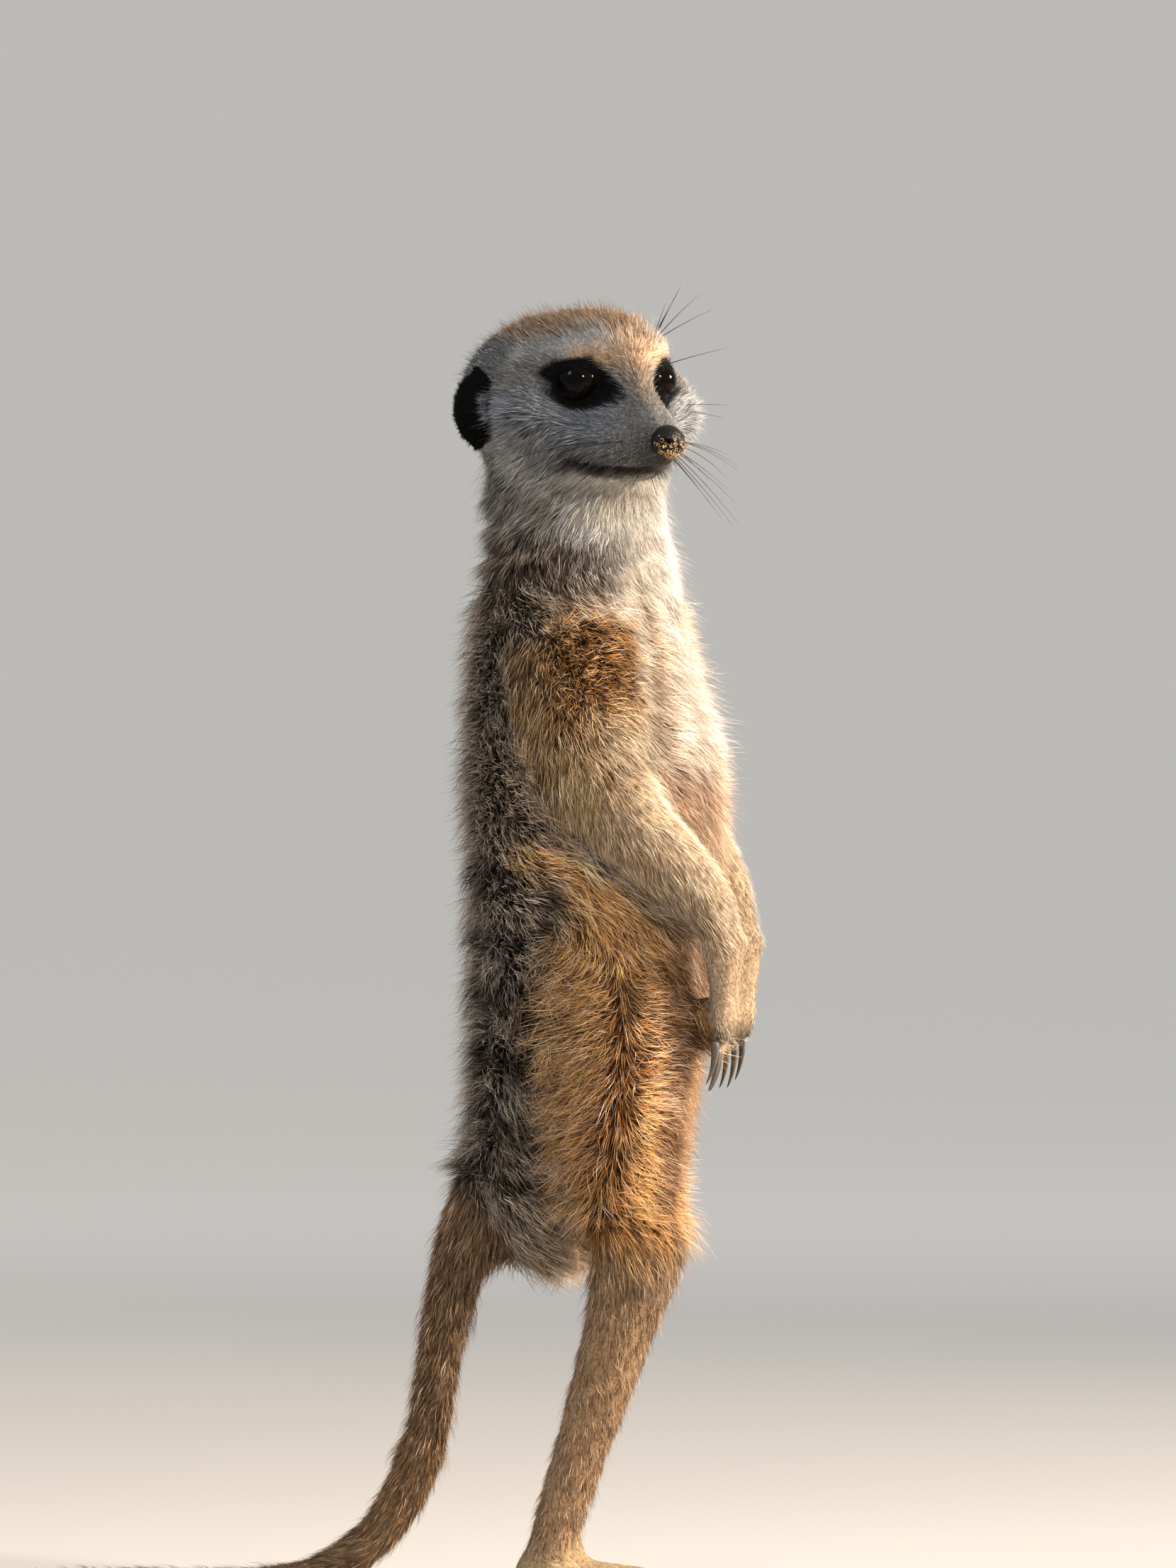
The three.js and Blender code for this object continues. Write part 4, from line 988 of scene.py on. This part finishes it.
def roundShape(name, segments, rings, radius, centre, stretch=(1, 1, 1)):  # to be shaped into a piece
    deselectAll()
    bpy.ops.mesh.primitive_uv_sphere_add(segments=segments, ring_count=rings, radius=radius, location=centre)
    bpy.ops.transform.resize(value=stretch)
    bpy.ops.object.transform_apply(location=True, rotation=True, scale=True)
    piece = bpy.context.object
    piece.name = name
    piece.data = inOrder(piece.data)  # a new sphere's own order changes from run to run
    smooth(piece)
    return piece


# Eyes: a dark globe with a brown iris, a level oval pupil and a clear bulging cornea, wet all over

globeSet = {"bulge": 0.05, "irisAngle": 44, "pupilWide": 2.3, "pupilHigh": 1.5}  # degrees and mm


def wetEye():
    material = newMaterial("wet eye")
    ring = addNode(material, "Attribute", attribute_name="irisRing")["Fac"]
    pupil = addNode(material, "Attribute", attribute_name="pupilRing")["Fac"]
    place = addNode(material, "TexCoord")["Object"]
    # fibres of the iris about 0.4 mm apart
    fleck = addNode(material, "TexNoise", {"Vector": place, "Scale": 2400, "Detail": 4})["Fac"]
    colour = {6: shaderColour("#030101"), 7: shaderColour("#0e0603")}
    iris = addNode(material, "Mix", {0: fleck, **colour}, data_type="RGBA")[2]
    rim = addNode(material, "MapRange", {0: ring, 1: 0.8, 2: 1.0})[0]
    globe = addNode(material, "Mix", {0: rim, 6: iris, 7: shaderColour("#070403")}, data_type="RGBA")[2]
    hole = addNode(material, "MapRange", {0: pupil, 1: 0.95, 2: 1.08})[0]
    sockets = {"Roughness": 0.1, "IOR": 1.38, "Specular IOR Level": 0.06, "Coat Weight": 0.16,
               "Coat Roughness": 0.02, "Coat IOR": 1.38}
    return finishMaterial(material, hole, ("#020202", globe), sockets)


def makeEyes():
    material = wetEye()
    for side, centre in eyeCentres.items():
        eye = roundShape("eyeball_" + side, 56, 36, eyeRadius, centre)
        places = placesOf(eye.data)
        across, up, out, distance = eyePlace(places, side)
        angle = np.degrees(np.arccos(np.clip(out / np.maximum(distance, 1e-6), -1, 1)))
        bulge = 1 + globeSet["bulge"] * ease(46, 12, angle)
        setPlaces(eye.data, np.array(centre) + (places - np.array(centre)) * bulge[:, None])
        store(eye.data, "irisRing", angle / globeSet["irisAngle"])
        pupil = np.hypot(across / globeSet["pupilWide"], up / globeSet["pupilHigh"])
        store(eye.data, "pupilRing", pupil + (out < 0) * 9)
        finishPiece(eye, material, "eye", "eye_" + side)


makeEyes()
print("eyes")


# Nose: a black leathery pad with comma nostrils and a groove down to the lip, dusted with sand

noseSet = {  # in mm
    "half": (4.8, 4.1, 4.5), "nostrilSide": 2.7, "nostrilUp": 0.2, "nostrilWide": 1.3, "nostrilHigh": 1.0,
    "nostrilDeep": 1.7, "nostrilRim": 0.35, "grooveDeep": 0.6, "grooveWide": 0.4,
}
noseLeather = dict(  # damp black leather, pebbled with grains of about 0.35 mm
    name="nose leather", tones=("#070606", "#1a1716"), texture="TexVoronoi", inputs={"Scale": 2600},
    sockets={"Roughness": 0.38, "IOR": 1.45, "Specular IOR Level": 0.2}, bump=(0.6, -0.2))


def makeNose():
    nose = roundShape("nose_pad", 64, 44, 1, middleOf("nose"), [half * mm for half in noseSet["half"]])
    places = placesOf(nose.data)
    at = inHead(places) - noseTip
    x, y, z = np.abs(at[:, 0]), at[:, 1], at[:, 2]
    front = ease(1, -2.5, y)
    comma = np.hypot((x - noseSet["nostrilSide"] - 0.35 * z) / noseSet["nostrilWide"],
                     (z - noseSet["nostrilUp"]) / noseSet["nostrilHigh"])
    push = noseSet["nostrilDeep"] * ease(1.15, 0.45, comma) * front
    push += noseSet["grooveDeep"] * hill(x, noseSet["grooveWide"]) * front * ease(1.6, 0.2, z)
    push -= noseSet["nostrilRim"] * hill(comma - 1.5, 0.4) * front
    push += 0.9 * ease(-1.5, -4, z) * ease(-0.5, 1.5, x)
    setPlaces(nose.data, places - normalsOf(nose.data) * (push * mm)[:, None])
    finishPiece(nose, finePattern(**noseLeather), "nose", "nose")
    return nose


# Sand: rounded golden quartz grains caught on the damp lower front of the nose

sandSet = {"count": 300, "smallest": 0.08, "largest": 0.27}  # radii in mm
sandGrain = dict(  # dull quartz, each grain of up to 0.5 mm in its own tone
    name="sand grain", tones=("#5e3f1e", "#cfa86c"), texture="TexNoise", inputs={"Scale": 900, "Detail": 1},
    sockets={"Roughness": 0.45, "IOR": 1.54})


def makeSand(nose):
    corners = trianglesOf(nose.data)
    shares = chance.dirichlet((1, 1, 1), len(corners))[:, :, None]
    places = (placesOf(nose.data)[corners] * shares).sum(1)
    normals = unit(normalsOf(nose.data)[corners].mean(1))
    at = inHead(places) - noseTip
    share = ease(-0.6, -2.6, at[:, 1]) * ease(2.0, -0.8, at[:, 2]) * ease(-4.6, -3, at[:, 2])
    share *= ease(-0.5, 0.4, patchy(places, 1.3 * mm, 5)) + 0.02
    picked = chance.choice(len(places), sandSet["count"], p=share / share.sum(), replace=False)
    deselectAll()
    bpy.ops.mesh.primitive_ico_sphere_add(subdivisions=1, radius=1)
    grain = bpy.context.object
    shape, sides = placesOf(grain.data), trianglesOf(grain.data)
    bpy.data.objects.remove(grain)
    points, faces = [], []
    for i in picked:
        size = chance.uniform(sandSet["smallest"], sandSet["largest"]) * mm
        lumpy = shape * chance.uniform(0.75, 1.2, (len(shape), 1)) * chance.uniform(0.7, 1.1, 3)
        faces += (sides + len(points)).tolist()
        points += (places[i] + normals[i] * size * 0.35 + lumpy * size).tolist()
    grains = newObject("sand_grains", newMesh("sand_grains", points, faces))
    finishPiece(grains, finePattern(**sandGrain), "nose")


makeSand(makeNose())
print("nose")


# Ears: thin rounded flaps, dished in front, with a close black coat

earSet = dict(length=1.9, width=0.22, rise=30, settle=12, wild=0.3, density=1, count=3200, forward=3.0)
earTones = ("#030302", "#080706")
earSkin = dict(  # dull black skin under short hairs about 0.4 mm apart
    name="black ear skin", tones=("#030202", "#0b0a09"), texture="TexNoise", bump=(0.7, 0.3),
    inputs={"Scale": 2200, "Detail": 4}, sockets={"Roughness": 0.8, "Specular IOR Level": 0.06})


def makeEars():
    material = finePattern(**earSkin)
    blackHair = coatHair("black ear hair", gloss=0.04, sheen=0.0)
    for side in sideSign:
        ear = roundedCopy(["ear_" + side], "ear_flap_" + side)
        setPlaces(ear.data, placesOf(ear.data) - np.array(headBack) * earSet["forward"] * mm)
        finishPiece(ear, material, "ear", "ear_" + side)
        places, normals = placesOf(ear.data), normalsOf(ear.data)
        outward = unit(places - places.mean(0)) + np.array(headBack) * 0.5 + [0, 0, 0.3]
        earGround = {key: np.full(len(places), earSet[key], float) for key in growKeys}
        for key, tone in zip(toneKeys, earTones):
            earGround[key] = np.tile(linear(tone), (len(places), 1))
        earGround.update(places=places, normals=normals, lie=onSurface(outward, normals))
        earGround["tick"] = np.ones(len(places))
        laid = unwrap(ear.data, trianglesOf(ear.data))
        tufts = growTufts("coat_ear_" + side, earGround, laid, earSet["count"], **layers["ear"])
        finishPiece(tufts, blackHair, "ear")


makeEars()


# Claws: long worn horn, dark and slightly translucent towards a pale edge

wornHorn = dict(  # scuffed horn with growth lines about 0.3 mm apart along the claw
    name="worn horn", tones=("#1d1a18", "#625b52"), texture="TexNoise", inputs={"Scale": 3000, "Detail": 2},
    sockets={"Roughness": 0.42, "IOR": 1.54}, bump=(0.3, 0.1), stretch=(1, 1, 0.15))


def makeClaws():
    material = finePattern(**wornHorn)
    for kind in ("finger", "toe"):
        names = sorted(n for n in nodes if n.startswith(kind + "_claw"))
        finishPiece(roundedCopy(names, kind + "_claws"), material, "claw", *names)


makeClaws()
print("ears and claws")


# Whiskers: stiff black tapering hairs on the muzzle, cheeks and brows

whiskerSet = {"thick": 0.13, "steps": 10, "sides": 5, "swingLeft": -0.25, "swingRight": 0.5, "browRight": 0.6}
# root (left, back, up) and heading in the head's own frame, then length and droop; mirrored to the other side
whiskerRows = [
    ((6.5, -16.5, -14.8), (0.9, 0.30, 0.10), 16, 0.4), ((8.0, -13.5, -14.5), (0.9, 0.40, 0.00), 21, 0.4),
    ((9.3, -10.5, -14.6), (0.85, 0.50, -0.10), 25, 0.4), ((10.6, -7.5, -15.0), (0.8, 0.65, -0.20), 27, 0.4),
    ((6.8, -16.5, -16.8), (0.9, 0.25, -0.35), 17, 0.3), ((8.4, -13.3, -16.8), (0.85, 0.35, -0.45), 26, 0.2),
    ((9.8, -10.0, -17.0), (0.8, 0.45, -0.50), 32, 0.2), ((11.0, -6.8, -17.2), (0.75, 0.55, -0.55), 33, 0.2),
    ((7.0, -15.5, -18.6), (0.8, 0.25, -0.65), 18, 0.2), ((8.8, -12.0, -18.8), (0.75, 0.40, -0.65), 25, 0.2),
    ((10.0, -0.5, 9.5), (0.25, -0.30, 1.00), 12, 0.1), ((11.0, 0.3, 9.6), (0.35, -0.20, 1.00), 14, 0.1),
    ((12.0, 1.2, 9.4), (0.60, -0.25, 0.90), 17, 0.2), ((12.8, 2.2, 9.0), (0.80, -0.20, 0.65), 17, 0.2),
    ((9.2, -1.2, 9.2), (0.10, -0.40, 0.95), 9, 0.1), ((14.0, 1.0, 4.0), (1.00, -0.25, 0.45), 15, 0.1),
    ((17.5, 4.0, -6.5), (1.00, 0.10, 0.05), 16, 0.1), ((17.8, 4.5, -8.0), (1.00, 0.10, -0.02), 15, 0.1),
    ((16.5, 6.0, -13.0), (0.80, 0.50, -0.50), 15, 0.2), ((3.0, -14.0, -25.0), (0.30, 0.10, -1.00), 6, 0.1),
]


def whiskerHorn():  # slightly glossy black horn, browner at the tip
    material = newMaterial("black whisker")
    along = addNode(material, "Attribute", attribute_name="along")["Fac"]
    sockets = {"Roughness": 0.45, "IOR": 1.55, "Specular IOR Level": 0.25}
    return finishMaterial(material, along, ("#0c0908", "#1d1510"), sockets)


def tubeAlong(line, radii, sides):
    rings = []
    last = len(line) - 1
    for k in range(len(line)):
        direction = unit(line[min(k + 1, last)] - line[max(k - 1, 0)])
        across = unit(np.cross(direction, [0.3, 0.2, 1.0]))
        over = np.cross(direction, across)
        for i in range(sides):
            angle = 2 * math.pi * i / sides
            rings.append(line[k] + radii[k] * (across * math.cos(angle) + over * math.sin(angle)))
    faces = []
    for start in range(0, last * sides, sides):
        for i in range(sides):
            j = (i + 1) % sides
            faces.append([start + i, start + j, start + sides + j, start + sides + i])
    faces.append(list(range(sides))[::-1])
    faces.append([last * sides + i for i in range(sides)])
    return rings, faces


def makeWhiskers():
    tree = BVHTree.FromPolygons([Vector(p) for p in ground["places"]], trianglesOf(skin.data).tolist())
    points, faces, shares = [], [], []
    steps, around = whiskerSet["steps"], whiskerSet["sides"]
    for sign, swing in ((1, whiskerSet["swingLeft"]), (-1, whiskerSet["swingRight"])):
        for (left, back, up), (outward, rearward, upward), length, droop in whiskerRows:
            found, normal, _, _ = tree.find_nearest(fromHead(sign * left, back, up))
            if up > 0 and sign < 0:
                length *= whiskerSet["browRight"]
            heading = np.array([sign * outward, rearward + swing, upward]) @ headAxes
            heading = unit(heading + chance.normal(0, 0.06, 3))
            reach = length * chance.uniform(0.85, 1.1) * mm
            line = [np.array(found) - np.array(normal) * 0.4 * mm]
            for _ in range(steps):
                heading = unit(heading - np.array([0, 0, droop / steps]))
                line.append(line[-1] + heading * reach / steps)
            radii = [whiskerSet["thick"] * mm * (1 - 0.85 * k / steps) for k in range(steps + 1)]
            rings, walls = tubeAlong(line, radii, around)
            faces += [[len(points) + v for v in face] for face in walls]
            points += rings
            shares += [k / steps for k in range(steps + 1) for _ in range(around)]
    whiskers = newObject("whiskers", newMesh("whiskers", points, faces))
    store(whiskers.data, "along", shares)
    smooth(whiskers)
    finishPiece(whiskers, whiskerHorn(), "ear")


makeWhiskers()
print("whiskers")


# The stage: a pale floor, soft lights and the camera

# The floor is greyer near the middle, painted shade that evens out the pool of lamp light there, and white
# far off.
stageSet = {  # the floor's tone up to one distance and from another, and its size, in m, and the air's light
    "near": ("#bab7b2", 0.4), "far": ("#ffffff", 2.4), "air": "#f4f1ec", "strength": 0.56, "size": 30,
}
cameraSet = {  # angles in degrees, distance and clipEnd in m, lens, sensor and where it aims in mm
    "azimuth": 293, "elevation": 1, "distance": 4.0, "lens": 377.6, "sensor": 36, "clipEnd": 60,
    "fromHead": (13.9, 13.8), "aimUp": 202.6, "aimRight": 0.8,
}
lightSet = {  # degrees round from the camera and up, distance and size in m, watts, colour, spread in degrees
    "sun": (92, 18, 3.0, 0.5, 24, "#ffeedc", 50),
    "front": (42, 24, 3.2, 0.4, 9.0, "#fff0dc", 60),
    "sky": (-50, 40, 3.2, 1.1, 4.8, "#c2d9fb", 60),
}
lightAimUp = 0.19  # metres above the floor


def paleFloor():  # matt painted floor
    material = newMaterial("pale studio floor")
    # greyer within nearTo of the middle as painted shade against the lamps' pool of light, white from farFrom
    # on
    (nearTone, nearTo), (farTone, farFrom) = stageSet["near"], stageSet["far"]
    place = addNode(material, "TexCoord")["Object"]
    away = addNode(material, "VectorMath", {0: place}, operation="LENGTH")["Value"]
    inputs = {0: away, 1: nearTo, 2: farFrom}
    share = addNode(material, "MapRange", inputs, interpolation_type="SMOOTHSTEP")[0]
    return finishMaterial(material, share, (nearTone, farTone), {"Roughness": 0.9, "Specular IOR Level": 0.1})


def pointAt(thing, aim, azimuth, elevation, distance):  # stands it off from its aim, facing it
    a, e = math.radians(azimuth), math.radians(elevation)
    away = Vector((math.sin(a) * math.cos(e), -math.cos(a) * math.cos(e), math.sin(e)))
    thing.location = aim + away * distance
    thing.rotation_euler = (-away).to_track_quat("-Z", "Y").to_euler()


def setStage():
    deselectAll()
    bpy.ops.mesh.primitive_plane_add(size=stageSet["size"], location=(0, 0, 0))
    floor = bpy.context.object
    floor.name = "floor"
    floor.data.materials.append(paleFloor())
    world = bpy.data.worlds.new("studio air")
    world.use_nodes = True
    background = world.node_tree.nodes["Background"].inputs
    background["Color"].default_value = shaderColour(stageSet["air"])
    background["Strength"].default_value = stageSet["strength"]
    bpy.context.scene.world = world
    view = cameraSet["azimuth"]
    for name, (azimuth, elevation, distance, size, power, colour, angle) in lightSet.items():
        lamp = bpy.data.lights.new(name, "AREA")
        lamp.shape = "DISK"
        lamp.size = size
        lamp.energy = power
        lamp.color = linear(colour)
        lamp.spread = math.radians(angle)
        aim = Vector((0, bellyMiddle[1], lightAimUp))
        pointAt(newObject(name, lamp), aim, view + azimuth, elevation, distance)
    camera = newObject("camera", bpy.data.cameras.new("camera"))
    turn = math.radians(view)
    x, y = (cameraSet["fromHead"][axis] * mm + headMiddle[axis] for axis in (0, 1))
    aim = Vector((x, y, cameraSet["aimUp"] * mm))
    aim += Vector((math.cos(turn), math.sin(turn), 0)) * cameraSet["aimRight"] * mm
    pointAt(camera, aim, view, cameraSet["elevation"], cameraSet["distance"])
    camera.data.lens = cameraSet["lens"]
    camera.data.sensor_width = cameraSet["sensor"]
    camera.data.clip_end = cameraSet["clipEnd"]
    bpy.context.scene.camera = camera
    bpy.context.scene.view_settings.view_transform = "Standard"


setStage()
print("stage")
